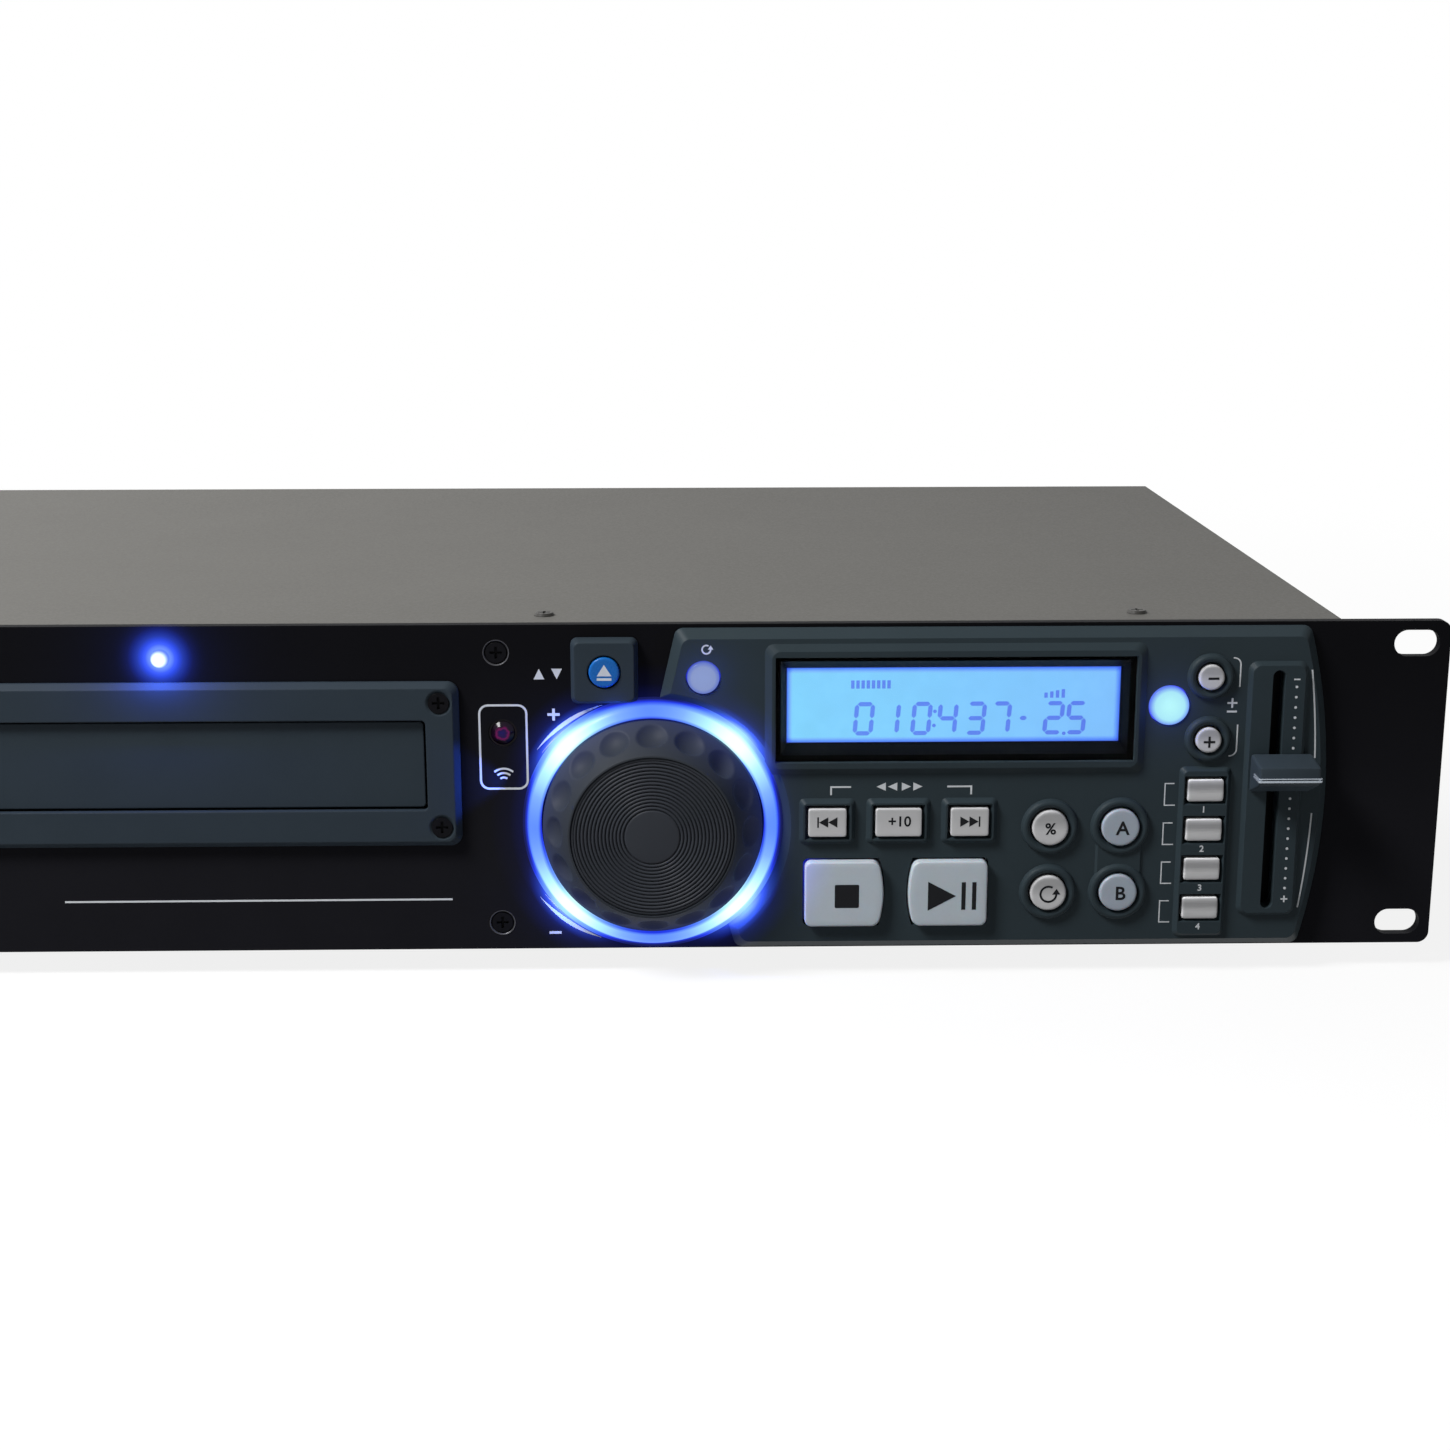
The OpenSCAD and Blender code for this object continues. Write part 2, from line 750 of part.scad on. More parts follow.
module top_cover() color("#6a6863") difference() {
    union() {
        block([-case_w / 2, touch, cover_under], [case_w / 2, case_d, cover_top]);
        for (s = [-1, 1]) mirror([s < 0 ? 1 : 0, 0, 0]) {
            block([case_w / 2 - cover_t, touch, pan_under], [case_w / 2, case_d, cover_top]);
        }
    }
    for (x = cover_screw_xs) translate([x, cover_screw_y, cover_under - 1]) {
        cylinder(d = screw_d + 2 * touch, h = cover_t + 2);
    }
    for (y = side_screw_ys) translate([-case_w, y, side_screw_z]) rotate([0, 90, 0]) {
        cylinder(d = screw_d + 2 * touch, h = 2 * case_w);
    }
    translate([-case_w, case_d * 0.62, 8]) rotate([90, 0, 90]) linear_extrude(height = 2 * case_w) {
        for (i = [0:vent_count - 1]) translate([(i - (vent_count - 1) / 2) * vent_pitch, 0]) {
            rotate(90) slot(26, 3);
        }
    }
}

module rear_panel() color("#3c3c3e") along_y(rear_y, case_d) difference() {
    translate([-pan_half, floor_z]) square([2 * pan_half, rail_top - floor_z]);
    translate([inlet_x, inlet_z]) square([inlet_w - 5, inlet_h - 5], center = true);
    for (i = [0:jack_count - 1]) translate([jack_x + i * jack_pitch, jack_z]) {
        circle(d = jack_d - 0.2);
    }
    for (i = [0:15]) translate([-150 + i * 8, 18]) rotate(90) slot(18, 3);
}

module rubber_feet() color("#1b1b1b") {
    for (s = [-1, 1], y = [foot_inset, case_d - foot_inset]) {
        translate([s * (case_w / 2 - foot_inset), y, pan_under - foot_h]) difference() {
            union() {
                cylinder(d1 = foot_d - 2, d2 = foot_d, h = foot_h * 0.3);
                translate([0, 0, foot_h * 0.3]) cylinder(d = foot_d, h = foot_h * 0.7);
            }
            translate([0, 0, -1]) cylinder(d = 7, h = foot_h * 0.5 + 1);
        }
    }
}

module cover_screws() color("#3a3835") {
    for (x = cover_screw_xs) translate([x, cover_screw_y, cover_top]) pan_screw(5);
    for (s = [-1, 1], y = side_screw_ys) translate([s * case_w / 2, y, side_screw_z]) {
        rotate([0, s * 90, 0]) pan_screw(5);
    }
}

module front_screws() color("#101010") {
    for (p = panel_screw_places) at(p) translate([0, face_y, 0]) rotate([-90, 0, 0]) {
        sunk_screw(panel_t + pan_t + 3);
    }
    for (p = bezel_screw_places) at(p) translate([0, bezel_y, 0]) rotate([-90, 0, 0]) {
        sunk_screw(bezel_proud + panel_t + pan_t + 1);
    }
}

module mains_inlet() color("#1a1a1a") difference() {
    x0 = inlet_x - inlet_w / 2;
    union() {
        along_y(case_d, case_d + inlet_flange_t) translate([inlet_x, inlet_z]) {
            round_rect(inlet_w, inlet_h, 2);
        }
        block(
            [x0 + 3, case_d - 30, inlet_z - inlet_h / 2 + 3],
            [x0 + inlet_w - 3, case_d, inlet_z + inlet_h / 2 - 3]
        );
    }
    difference() {
        along_y(case_d + inlet_flange_t - socket_d, case_d + inlet_flange_t + 1) {
            translate([x0 + 18, inlet_z]) round_rect(socket_w, socket_h, 2);
        }
        for (p = [[-7, -1], [0, 3], [7, -1]]) {
            along_y(case_d - socket_d, case_d - 2) translate([x0 + 18 + p[0], inlet_z + p[1]]) {
                square([2, 4], center = true);
            }
        }
    }
    along_y(rocker_axis_y - 8, case_d + inlet_flange_t + 1) translate([rocker_x, inlet_z]) {
        square([rocker_w + 2 * run, rocker_h + 2 * run], center = true);
    }
    rocker_pin(bore_fit, run);
}

// The rocker's pivot pin, or the bore for it
module rocker_pin(gap, end_gap) translate([rocker_x, rocker_axis_y, inlet_z]) rotate([0, 90, 0]) {
    cylinder(d = rocker_pin_d + 2 * gap, h = rocker_w + 2 * (rocker_pin_l + end_gap), center = true);
}

module power_rocker() color("#c01818") {
    translate([rocker_x, rocker_axis_y, inlet_z]) rotate([rocker_tilt, 0, 0]) {
        along_x(-rocker_w / 2, rocker_w / 2) intersection() {
            circle(r = rocker_h / 2 - run);
            polygon([[-5, -rocker_h], [-5, rocker_h], [6, rocker_h], [3.8, 0], [6, -rocker_h]]);
        }
    }
    rocker_pin(0, 0);
}

module output_jacks() color("#c9a227") {
    x1 = jack_x + (jack_count - 1) * jack_pitch;
    block([jack_x - 8, rear_y - 12, board_z + board_t], [x1 + 8, rear_y - touch, jack_z + 8]);
    for (i = [0:jack_count - 1]) at([jack_x + i * jack_pitch, jack_z]) difference() {
        union() {
            rod_y(jack_d / 2 - 0.2, rear_y - touch, case_d);
            rod_y(jack_d / 2, case_d, case_d + jack_l);
        }
        rod_y(1.7, case_d, case_d + jack_l + 1);
    }
}

// Front mouldings

module tray_bezel() color("#39424a") difference() {
    w = window_w + 2 * bezel_side;
    h = window_h + 2 * bezel_cheek;
    at(tray_at) hull() {
        along_y(face_y - 0.8, face_y) round_rect(w, h, bezel_r, $fn = 32);
        along_y(bezel_y, bezel_y + 0.05) {
            round_rect(w - 2 * bezel_bevel, h - 2 * bezel_bevel, bezel_r - bezel_bevel / 2, $fn = 32);
        }
    }
    at(tray_at) along_y(bezel_y - 1, 1) round_rect(window_w, window_h, window_r);
    for (p = bezel_screw_places) at(p) translate([0, bezel_y, 0]) rotate([-90, 0, 0]) sunk_hole(10);
}

module eject_plate() color("#39424a") difference() {
    at(eject_at) hull() {
        along_y(face_y - 0.8, face_y) round_rect(eject_plate_w, eject_plate_w, 1.8, $fn = 32);
        along_y(face_y - eject_proud, face_y - eject_proud + 0.05) {
            round_rect(eject_plate_w - 2, eject_plate_w - 2, 1.4, $fn = 32);
        }
    }
    at(eject_at) rod_y(eject_d / 2 + key_gap, face_y - eject_proud - 1, 1);
    at(jog_at) rod_y(ring_d / 2 + ring_gap, face_y - eject_proud - 1, 1);
}

// Outline of the control bezel before the jog wheel's cut, drawn in by an inset
module control_outline(inset) {
    top = panel_h / 2 - control_margin;
    foot = control_foot - panel_h / 2;
    arc_x = control_right - control_arc_r;
    offset(r = 2.4, $fn = 32) offset(delta = -2.4 - inset) intersection() {
        translate([arc_x, -2]) circle(r = control_arc_r, $fn = 480);
        polygon([
            [jog_x + 6.4, top], [jog_x + 2.1, jog_z + 34.1], [jog_x + 21.8, foot],
            [control_right + 1, foot], [control_right + 1, top]
        ]);
    }
}

// A raised ring with a rounded back around the opening of a round key
module collar_ring(d) translate([0, control_y, 0]) rotate([90, 0, 0]) {
    half = collar_w / 2;
    mid = d / 2 + key_gap + half;
    rotate_extrude() polygon(concat(
        [for (a = [0:22.5:180]) [mid + half * cos(a), collar_h * sin(a)]],
        [[mid - half, -1], [mid + half, -1]]
    ));
}

// A raised frame with sloping sides around the opening of a rectangular key
module collar_frame(w, h) {
    raised_rect(w + 2 * collar_w, h + 2 * collar_w, 1.4, control_y, collar_h, collar_h * 0.75);
}

// The opening of a rectangular key, which widens towards the viewer
module flared_opening(w, h) {
    gap_w = w + 2 * key_gap;
    gap_h = h + 2 * key_gap;
    along_y(control_y - touch, 1) round_rect(gap_w, gap_h, 0.6);
    translate([0, control_y, 0]) rotate([90, 0, 0]) linear_extrude(
        height = collar_h + touch,
        scale = [1 + 2 * collar_flare / gap_w, 1 + 2 * collar_flare / gap_h],
        slices = 1
    ) square([gap_w, gap_h], center = true);
}

// Openings in the control bezel for all that passes through it
module control_openings() {
    for (k = round_keys) at(k[0]) rod_y(k[1] / 2 + key_gap, collar_y - 1, 1);
    for (k = rect_keys) at(k[0]) flared_opening(k[1], k[2]);
    along_y(collar_y - 1, 1) {
        translate(cue_at) large_key_outline(1, key_gap);
        translate(play_at) large_key_outline(-1, key_gap);
        translate(display_at) square([display_w, display_h], center = true);
        translate(fader_slot_at) rotate(90) slot(fader_slot_l, fader_slot_w);
    }
}

module control_bezel() color("#39424a") difference() {
    union() {
        hull() {
            along_y(face_y - 1, face_y) control_outline(0);
            along_y(control_y, control_y + 0.05) control_outline(control_bevel);
        }
        for (k = round_keys) if (k[0] != lit_at && k[0] != jog_key_at) at(k[0]) collar_ring(k[1]);
        for (k = rect_keys) if (k[0][0] != mode_x) at(k[0]) collar_frame(k[1], k[2]);
        at([round_right_x, (round_top_z + round_bottom_z) / 2]) raised_rect(
            round_right_d + collar_w, round_top_z - round_bottom_z, 1, control_y, collar_h * 0.4,
            collar_h * 0.4
        );
        at([mode_x, mode_top_z - 1.5 * mode_pitch - mode_foot / 2]) raised_rect(
            mode_w + 2 * mode_margin_x, 3 * mode_pitch + mode_h + 2 * mode_margin_z + mode_foot, 1.4,
            control_y, collar_h, collar_h * 0.7
        );
        at(display_at) raised_rect(
            display_w + 2 * display_rim, display_h + 2 * display_brow, 2.4, control_y, collar_h,
            collar_h * 1.3
        );
        at(fader_slot_at) raised_rect(
            fader_plate_w, fader_plate_h, 2.4, control_y, collar_h, collar_h * 0.7
        );
    }
    at(jog_at) {
        rod_y(ring_d / 2 + ring_margin, collar_y - 1, 1);
        cone_y(
            ring_d / 2 + ring_margin + control_proud * 0.5, ring_d / 2 + ring_margin, control_y, face_y - 1
        );
    }
    control_openings();
}

module display_frame() color("#0b0b0d") at(display_at) difference() {
    y0 = control_y + lens_t;
    along_y(y0, face_y + 1) square([display_w - 2 * touch, display_h - 2 * touch], center = true);
    translate([0, face_y + 1.01, 0]) rotate([90, 0, 0]) linear_extrude(
        height = face_y + 1.02 - y0,
        scale = [(display_w - 3) / lit_area_w, (display_h - 3) / lit_area_h],
        slices = 1
    ) square([lit_area_w, lit_area_h], center = true);
}

module display_lens() color("#20242c") at(display_at) along_y(control_y, control_y + lens_t) {
    square([display_w - 2 * touch, display_h - 2 * touch], center = true);
}

module lcd_module() color("#6fb4ff") at(display_at) along_y(face_y + 1, board_y) {
    square([display_w - 1, display_h - 1], center = true);
}

module jog_light_ring() color("#3f6dff") translate([jog_x, face_y, jog_z]) rotate([90, 0, 0]) {
    r1 = ring_d / 2;
    r0 = r1 - ring_w;
    rotate_extrude() polygon([
        [r0, 0], [r1, 0], [r1, ring_proud * 0.2], [r1 - ring_w * 0.25, ring_proud * 0.55],
        [r0 + ring_w * 0.3, ring_proud * 0.92], [r0, ring_proud]
    ]);
}

module sensor_lens() color("#3a0a18") at(sensor_at) {
    rod_y(sensor_d / 2, face_y + 0.4, 0);
    rod_y(sensor_d / 2 + 0.8, 0, 2.4);
    translate([0, face_y + 0.4, 0]) rotate([90, 0, 0]) cylinder(
        r1 = sensor_d / 2 - 0.4, r2 = sensor_d / 2 - 1.6, h = 1
    );
    rod_y(1, 2.4, board_y);
}

module status_led() color("#7da2ff") at(led_at) {
    rod_y(led_d / 2, face_y - 0.4, 0);
    rod_y(led_d / 2 + 0.6, 0, 1);
    translate([0, face_y - 0.4, 0]) intersection() {
        sphere(d = led_d);
        translate([0, -led_d / 2, 0]) cube(led_d, center = true);
    }
}

// Boards

module control_board() color("#1d5b34") {
    x0 = panel_screw_right_x - 8;
    x1 = fader_slot_at[0] + cap_w - 0.2;
    along_y(board_y, board_y + board_t) difference() {
        translate([x0, -panel_h / 2 + 5]) square([x1 - x0, panel_h - 12]);
        translate(jog_at) circle(d = jog_shaft_d + 2);
    }
    for (p = switch_places) at(p) {
        translate([-switch_w / 2, board_y - 3.5, -switch_w / 2]) cube([switch_w, 3.5, switch_w]);
        rod_y(plunger_d / 2, board_y - switch_h, board_y - 3.5);
    }
    at(jog_at) difference() {
        translate([-8, 1, -8]) cube([16, board_y - 1, 16]);
        rod_y(jog_shaft_d / 2 + bore_fit, 0, board_y + 1);
    }
    at(fader_slot_at) difference() {
        translate([-4.5, board_y - 7, -fader_slot_l / 2 - 4]) cube([9, 7, fader_slot_l + 8]);
        translate([-1, board_y - 8, -fader_slot_l / 2]) cube([2, 7, fader_slot_l]);
    }
    block(
        [plug_x - plug_w / 2, board_y + board_t, plug_z - plug_h / 2],
        [plug_x + plug_w / 2, board_y + board_t + plug_t, plug_z + plug_h / 2]
    );
}

// A board with its corner in x0 and y0, on four spacers that stand on the pan's floor
module spaced_board(x0, y0, w, l) {
    block([x0, y0, board_z], [x0 + w, y0 + l, board_z + board_t]);
    for (x = [x0 + spacer_inset, x0 + w - spacer_inset], y = [y0 + spacer_inset, y0 + l - spacer_inset]) {
        translate([x, y, floor_z]) cylinder(d = spacer_d, h = board_z - floor_z);
    }
}

module main_board() color("#1d5b34") {
    x1 = main_x0 + main_w;
    top = board_z + board_t;
    spaced_board(main_x0, main_y0, main_w, main_l);
    block([plug_x - plug_w / 2, main_y0, top], [plug_x + plug_w / 2, main_y0 + plug_h, top + plug_h]);
    translate([main_x0, loader_plug_y - loader_plug_w / 2, top]) cube([plug_h, loader_plug_w, plug_h]);
    translate([x1 - plug_h, supply_plug_y - supply_plug_w / 2, top]) cube([plug_h, supply_plug_w, plug_h]);
    translate([main_x0 + chip_w * 1.4, main_y0 + main_l / 3, top]) cube([chip_w, chip_w, chip_h]);
    translate([main_x0 + main_w * 0.6, main_y0 + main_l * 0.6, top]) {
        cube([small_chip_w, small_chip_w, chip_h]);
    }
    for (i = [0:3]) translate([x1 - (i + 2) * can_pitch, main_y0 + main_l / 4, top]) {
        cylinder(d = can_d, h = can_h);
    }
}

module power_supply() color("#1d5b34") {
    top = board_z + board_t;
    x_mid = supply_x0 + supply_w / 2;
    y_mid = supply_y0 + supply_l * 0.26;
    core_w = supply_w - 24;
    core_l = supply_l * 0.375;
    spaced_board(supply_x0, supply_y0, supply_w, supply_l);
    translate([x_mid - core_w / 2, y_mid - core_l / 2, top]) cube([core_w, core_l, transformer_h]);
    translate([x_mid, y_mid, top + transformer_h / 2]) {
        cube([core_w * 0.7, core_l * 1.3, winding_h], center = true);
    }
    translate([supply_x0, supply_plug_y - supply_plug_w / 2, top]) cube([plug_h, supply_plug_w, plug_h]);
    for (i = [-1:1]) translate([x_mid + i * filter_cap_pitch, supply_y0 + supply_l * 0.62, top]) {
        cylinder(d = filter_cap_d, h = filter_cap_h);
    }
}

// Ribbons between the boards, each a line of points with a width
module flat_cables() color("#c9ccd0") {
    z = board_z + board_t + plug_h / 2;
    y0 = board_y + board_t + plug_t;
    bend = (main_y0 - y0) / 4;
    half = plug_w / 2 - ribbon_edge;
    sag = 1.5;
    along_x(plug_x - half, plug_x + half) polygon(ribbon([
        [y0, plug_z], [y0 + bend, plug_z - sag], [y0 + 2 * bend, (z + plug_z) / 2 - sag],
        [y0 + 3 * bend, z - sag], [main_y0, z]
    ], ribbon_t));
    xl = tray_x + loader_out;
    loader_half = loader_plug_w / 2 - ribbon_edge;
    along_y(loader_plug_y - loader_half, loader_plug_y + loader_half) polygon(ribbon([
        [xl, loader_floor_z + 2 * sag], [xl + 8, loader_floor_z], [main_x0 - 10, z + 2 * sag], [main_x0, z]
    ], ribbon_t));
    supply_half = supply_plug_w / 2 - ribbon_edge;
    along_y(supply_plug_y - supply_half, supply_plug_y + supply_half) polygon(ribbon([
        [main_x0 + main_w, z], [(main_x0 + main_w + supply_x0) / 2, z - sag], [supply_x0, z]
    ], ribbon_t));
}

// Keys: a cap in its opening, a lip behind it and a stem to its switch

module key_back(lip_w, lip_h, round_lip) {
    y = face_y + touch;
    along_y(y, y + key_lip_t) {
        if (round_lip) circle(d = lip_w);
        else square([lip_w, lip_h], center = true);
    }
    rod_y(stem_d / 2, y + key_lip_t, stem_end_y);
}

module round_key(place, d, front_y) at(place) {
    rod_y(d / 2, front_y + 0.5, face_y + touch);
    cone_y(d / 2 - 0.5, d / 2, front_y, front_y + 0.5);
    key_back(d + 2 * key_lip, 0, true);
}

module rect_key(place, w, h) at(place) {
    along_y(key_y, face_y + touch) round_rect(w, h, 0.5);
    key_back(w + 2 * key_lip, h + 2 * key_lip, false);
}

// Outline of a large key, with its curved side to the right for side = 1
module large_key_outline(side, gap) {
    r = (pow(large_h / 2, 2) + pow(large_bulge, 2)) / (2 * large_bulge);
    intersection() {
        round_rect(large_w + 2 * gap, large_h + 2 * gap, 1.5);
        translate([side * (large_w / 2 - r), 0]) circle(r = r + gap);
    }
}

module large_key(place, side) at(place) {
    along_y(key_y - 0.4, face_y + touch) large_key_outline(side, 0);
    key_back(large_w + 2 * key_lip, large_h + 2 * key_lip, false);
}

module eject_key() color("#1b7fd0") round_key(eject_at, eject_d, face_y - eject_proud - key_proud);
module jog_mode_key() color("#dfe6ff") round_key(jog_key_at, jog_key_d, control_y - key_proud);
module track_back_key() color("#c9c7c6") rect_key(back_at, track_key_w, track_key_h);
module plus_ten_key() color("#c9c7c6") rect_key(ten_at, ten_key_w, track_key_h);
module track_next_key() color("#c9c7c6") rect_key(next_at, track_key_w, track_key_h);
module cue_key() color("#c3cad0") large_key(cue_at, 1);
module play_key() color("#c3cad0") large_key(play_at, -1);
module pitch_key() color("#c4c2c1") round_key(pitch_at, round_left_d, key_y);
module reloop_key() color("#c4c2c1") round_key(reloop_at, round_left_d, key_y);
module loop_in_key() color("#b9c2c8") round_key(in_at, round_right_d, key_y);
module loop_out_key() color("#b9c2c8") round_key(out_at, round_right_d, key_y);
module bend_down_key() color("#c4c2c1") round_key(down_at, bend_d, key_y);
module bend_up_key() color("#c4c2c1") round_key(up_at, bend_d, key_y);
module lit_pitch_key() color("#8fd0ff") round_key(lit_at, lit_d, control_y - key_proud);
module time_key() color("#c4c2c1") rect_key(mode_at(0), mode_w, mode_h);
module single_key() color("#c4c2c1") rect_key(mode_at(1), mode_w, mode_h);
module program_key() color("#c4c2c1") rect_key(mode_at(2), mode_w, mode_h);
module repeat_key() color("#c4c2c1") rect_key(mode_at(3), mode_w, mode_h);

// Fader cap with the lever that runs in the fader's slot
module fader_cap() color("#39424a") {
    z = fader_z + fader_rest;
    base_y = collar_y - run;
    front_y = collar_y - cap_proud;
    along_x(fader_x - cap_w / 2, fader_x + cap_w / 2) translate([0, z]) polygon([
        [base_y, -cap_h / 2], [base_y, cap_h / 2], [front_y, cap_h * 0.36], [front_y, -cap_h * 0.06],
        [front_y + 1.4, -cap_h * 0.2]
    ]);
    at([fader_slot_at[0], z]) translate([-0.6, base_y, -2]) cube([1.2, board_y - 3 - base_y, 4]);
}

// Jog wheel

module jog_wheel() color("#3a3c3f") translate([jog_x, face_y, jog_z]) rotate([90, 0, 0]) {
    r0 = ring_d / 2 - ring_w - ring_gap;
    r1 = wheel_top_d / 2;
    y0 = ring_gap;
    y1 = ring_proud - 0.2;
    wall = 2.6;
    slope = atan2(wheel_proud - y1, r0 - r1);
    difference() {
        rotate_extrude($fn = 96) polygon([
            [0, y0], [6, y0], [6, wheel_proud - 4.2], [r1 - wall, wheel_proud - 4.2],
            [r0 - wall, y1 - 1], [r0 - wall, y0], [r0, y0], [r0, y1],
            [r1, wheel_proud], [insert_d / 2 + touch, wheel_proud],
            [insert_d / 2 + touch, wheel_proud - 1.6], [0, wheel_proud - 1.6]
        ]);
        for (i = [0:dimple_count - 1]) rotate([0, 0, i * 360 / dimple_count]) {
            translate([(r0 + r1) / 2, 0, (y1 + wheel_proud) / 2]) rotate([0, slope, 0]) {
                translate([0, 0, dimple_lift]) sphere(r = dimple_r);
            }
        }
    }
    translate([0, 0, -board_y - panel_t - 1]) cylinder(d = jog_shaft_d, h = board_y + panel_t + 1 + y0);
}

module jog_insert() color("#2b2e31") translate([jog_x, face_y, jog_z]) rotate([90, 0, 0]) {
    r0 = insert_plain_d / 2;
    r1 = insert_d / 2;
    pitch = (r1 - r0) / groove_count;
    top = wheel_proud - 0.3;
    base = wheel_proud - 1.6;
    rotate_extrude($fn = 96) polygon(concat(
        [[0, base], [r1, base], [r1, top]],
        [for (i = [groove_count - 1:-1:0], p = [[0.62, 0], [0.5, -0.5], [0.2, -0.5], [0.08, 0]])
            [r0 + (i + p[0]) * pitch, top + p[1]]],
        [[0, top]]
    ));
}

// Disc tray

module disc_tray() color("#1c1c1e") translate([tray_x, 0, 0]) difference() {
    union() {
        block([-tray_w / 2, tray_body_y, deck_z], [tray_w / 2, tray_end_y, rim_z]);
        for (s = [-1, 1]) mirror([s < 0 ? 1 : 0, 0, 0]) {
            block(
                [tray_w / 2 - lip_reach - 3.4, loader_y0, deck_z - skirt_h],
                [tray_w / 2 - lip_reach - 1, tray_end_y, deck_z]
            );
        }
        tray_rack();
    }
    translate([0, disc_y, recess_z]) cylinder(d = recess_d, h = 10, $fn = 96);
    translate([0, disc_y, recess_z - 0.9]) cylinder(d = small_recess_d, h = 10, $fn = 96);
    translate([0, disc_y, deck_z - 10]) cylinder(r = slot_half, h = 20);
    block([-slot_half, disc_y, deck_z - 1], [slot_half, tray_end_y + 1, rim_z + 1]);
}

// The toothed rack under the tray, with a gap between two teeth facing the tray gear
module tray_rack() {
    pitch = PI * gear_m;
    y0 = gear_y - 3.5 * pitch;
    count = ceil(tray_travel / pitch) + 7;
    top_half = pitch / 4 - gear_m * tan(20) - backlash / 4;
    root_half = pitch / 4 + 1.25 * gear_m * tan(20) - backlash / 4;
    translate([0, 0, gear_top_z - gear_h + 0.5]) linear_extrude(height = deck_z - gear_top_z + gear_h) {
        polygon(concat(
            [[rack_root_x - 4, y0 + (count + 0.5) * pitch], [rack_root_x - 4, y0 - 0.5 * pitch]],
            [for (i = [0:count], p = [
                [rack_root_x, -root_half], [rack_root_x + 2.25 * gear_m, -top_half],
                [rack_root_x + 2.25 * gear_m, top_half], [rack_root_x, root_half]
            ]) [p[0], y0 + i * pitch + p[1]]]
        ));
    }
}

module tray_front() color("#353e46") at(tray_at) along_y(tray_front_y, tray_body_y) {
    round_rect(window_w - 2 * tray_gap, window_h - 2 * tray_gap, 1);
}

// Loader

module loader_frame() color("#202022") translate([tray_x, 0, 0]) difference() {
    z0 = loader_floor_z;
    z1 = loader_floor_z + loader_floor_t;
    union() {
        block([-loader_out, loader_y0, z0], [loader_out, loader_end_y, z1]);
        for (s = [-1, 1]) mirror([s < 0 ? 1 : 0, 0, 0]) {
            block([loader_in, loader_y0, z0], [loader_out, loader_end_y, rim_z + run + lip_t]);
            block(
                [loader_in - lip_reach, loader_y0, deck_z - run - lip_t],
                [loader_in + 1, loader_end_y, deck_z - run]
            );
            block(
                [loader_in - lip_reach, loader_y0, rim_z + run],
                [loader_in + 1, loader_end_y, rim_z + run + lip_t]
            );
            block([loader_in, disc_y - 20, z0], [loader_out, disc_y + 20, clamp_z]);
            block(
                [traverse_half + 0.5, pivot_y - 7, z0],
                [traverse_half + 0.5 + pivot_wall, pivot_y + 7, pivot_z + 5]
            );
            for (y = [loader_y0 + 8, loader_end_y - 10]) translate([loader_out - 9, y, floor_z]) {
                cylinder(d = 10, h = z1 - floor_z);
            }
        }
        block([-loader_out, loader_end_y - 3, z0], [loader_out, loader_end_y, deck_z - run]);
        for (x = [tray_gear_x, pulley_x]) translate([x, gear_y, z0]) {
            cylinder(d = post_d, h = gear_top_z - z0);
        }
        translate([tray_gear_x, gear_y, z0]) {
            cylinder(d = tray_boss_d, h = gear_top_z - gear_h - touch - z0);
        }
        translate([pulley_x, gear_y, z0]) cylinder(d = pulley_boss_d, h = pulley_z - touch - z0);
    }
    block(
        [-traverse_half - 0.5, traverse_y0 - 4, z0 - 1],
        [traverse_half + 0.5, loader_end_y - 5, z1 + 1]
    );
    translate([motor_x, gear_y, z0 - 1]) cylinder(d = 5, h = 10);
    translate([-traverse_half - 20, pivot_y, pivot_z]) rotate([0, 90, 0]) {
        cylinder(d = pivot_d + 2 * bore_fit, h = 2 * traverse_half + 40);
    }
}

module load_motor() color("#9a9da0") translate([tray_x + motor_x, gear_y, loader_floor_z - 18]) {
    difference() {
        cylinder(d = load_motor_d, h = 18);
        translate([0, 0, 4]) cylinder(d = 2 + 2 * bore_fit, h = 20);
    }
}

module motor_pulley() color("#d8d8d2") translate([tray_x + motor_x, gear_y, pulley_z]) {
    difference() {
        cylinder(d = motor_pulley_d, h = pulley_h);
        translate([0, 0, cheek_t]) difference() {
            cylinder(d = motor_pulley_d + 1, h = groove_h);
            translate([0, 0, -1]) cylinder(r = motor_groove_r, h = groove_h + 2);
        }
    }
    translate([0, 0, loader_floor_z - pulley_z - 12]) cylinder(d = 2, h = pulley_z - loader_floor_z + 12);
}

module pulley_gear() color("#d8d8d2") translate([tray_x + pulley_x, gear_y, pulley_z]) difference() {
    union() {
        cylinder(d = pulley_d, h = pulley_h);
        rotate([0, 0, 180 / pulley_gear_teeth]) linear_extrude(height = gear_top_z - pulley_z - touch) {
            polygon(gear_outline(gear_m, pulley_gear_teeth));
        }
    }
    translate([0, 0, cheek_t]) difference() {
        cylinder(d = pulley_d + 1, h = groove_h);
        translate([0, 0, -1]) cylinder(r = pulley_groove_r, h = groove_h + 2);
    }
    translate([0, 0, -1]) cylinder(d = post_d + 2 * bore_fit, h = 40);
}

module tray_gear() color("#e4e2d8") translate([tray_x + tray_gear_x, gear_y, gear_top_z - gear_h]) {
    difference() {
        linear_extrude(height = gear_h) polygon(gear_outline(gear_m, tray_gear_teeth));
        translate([0, 0, -1]) cylinder(d = post_d + 2 * bore_fit, h = gear_h + 2);
    }
}

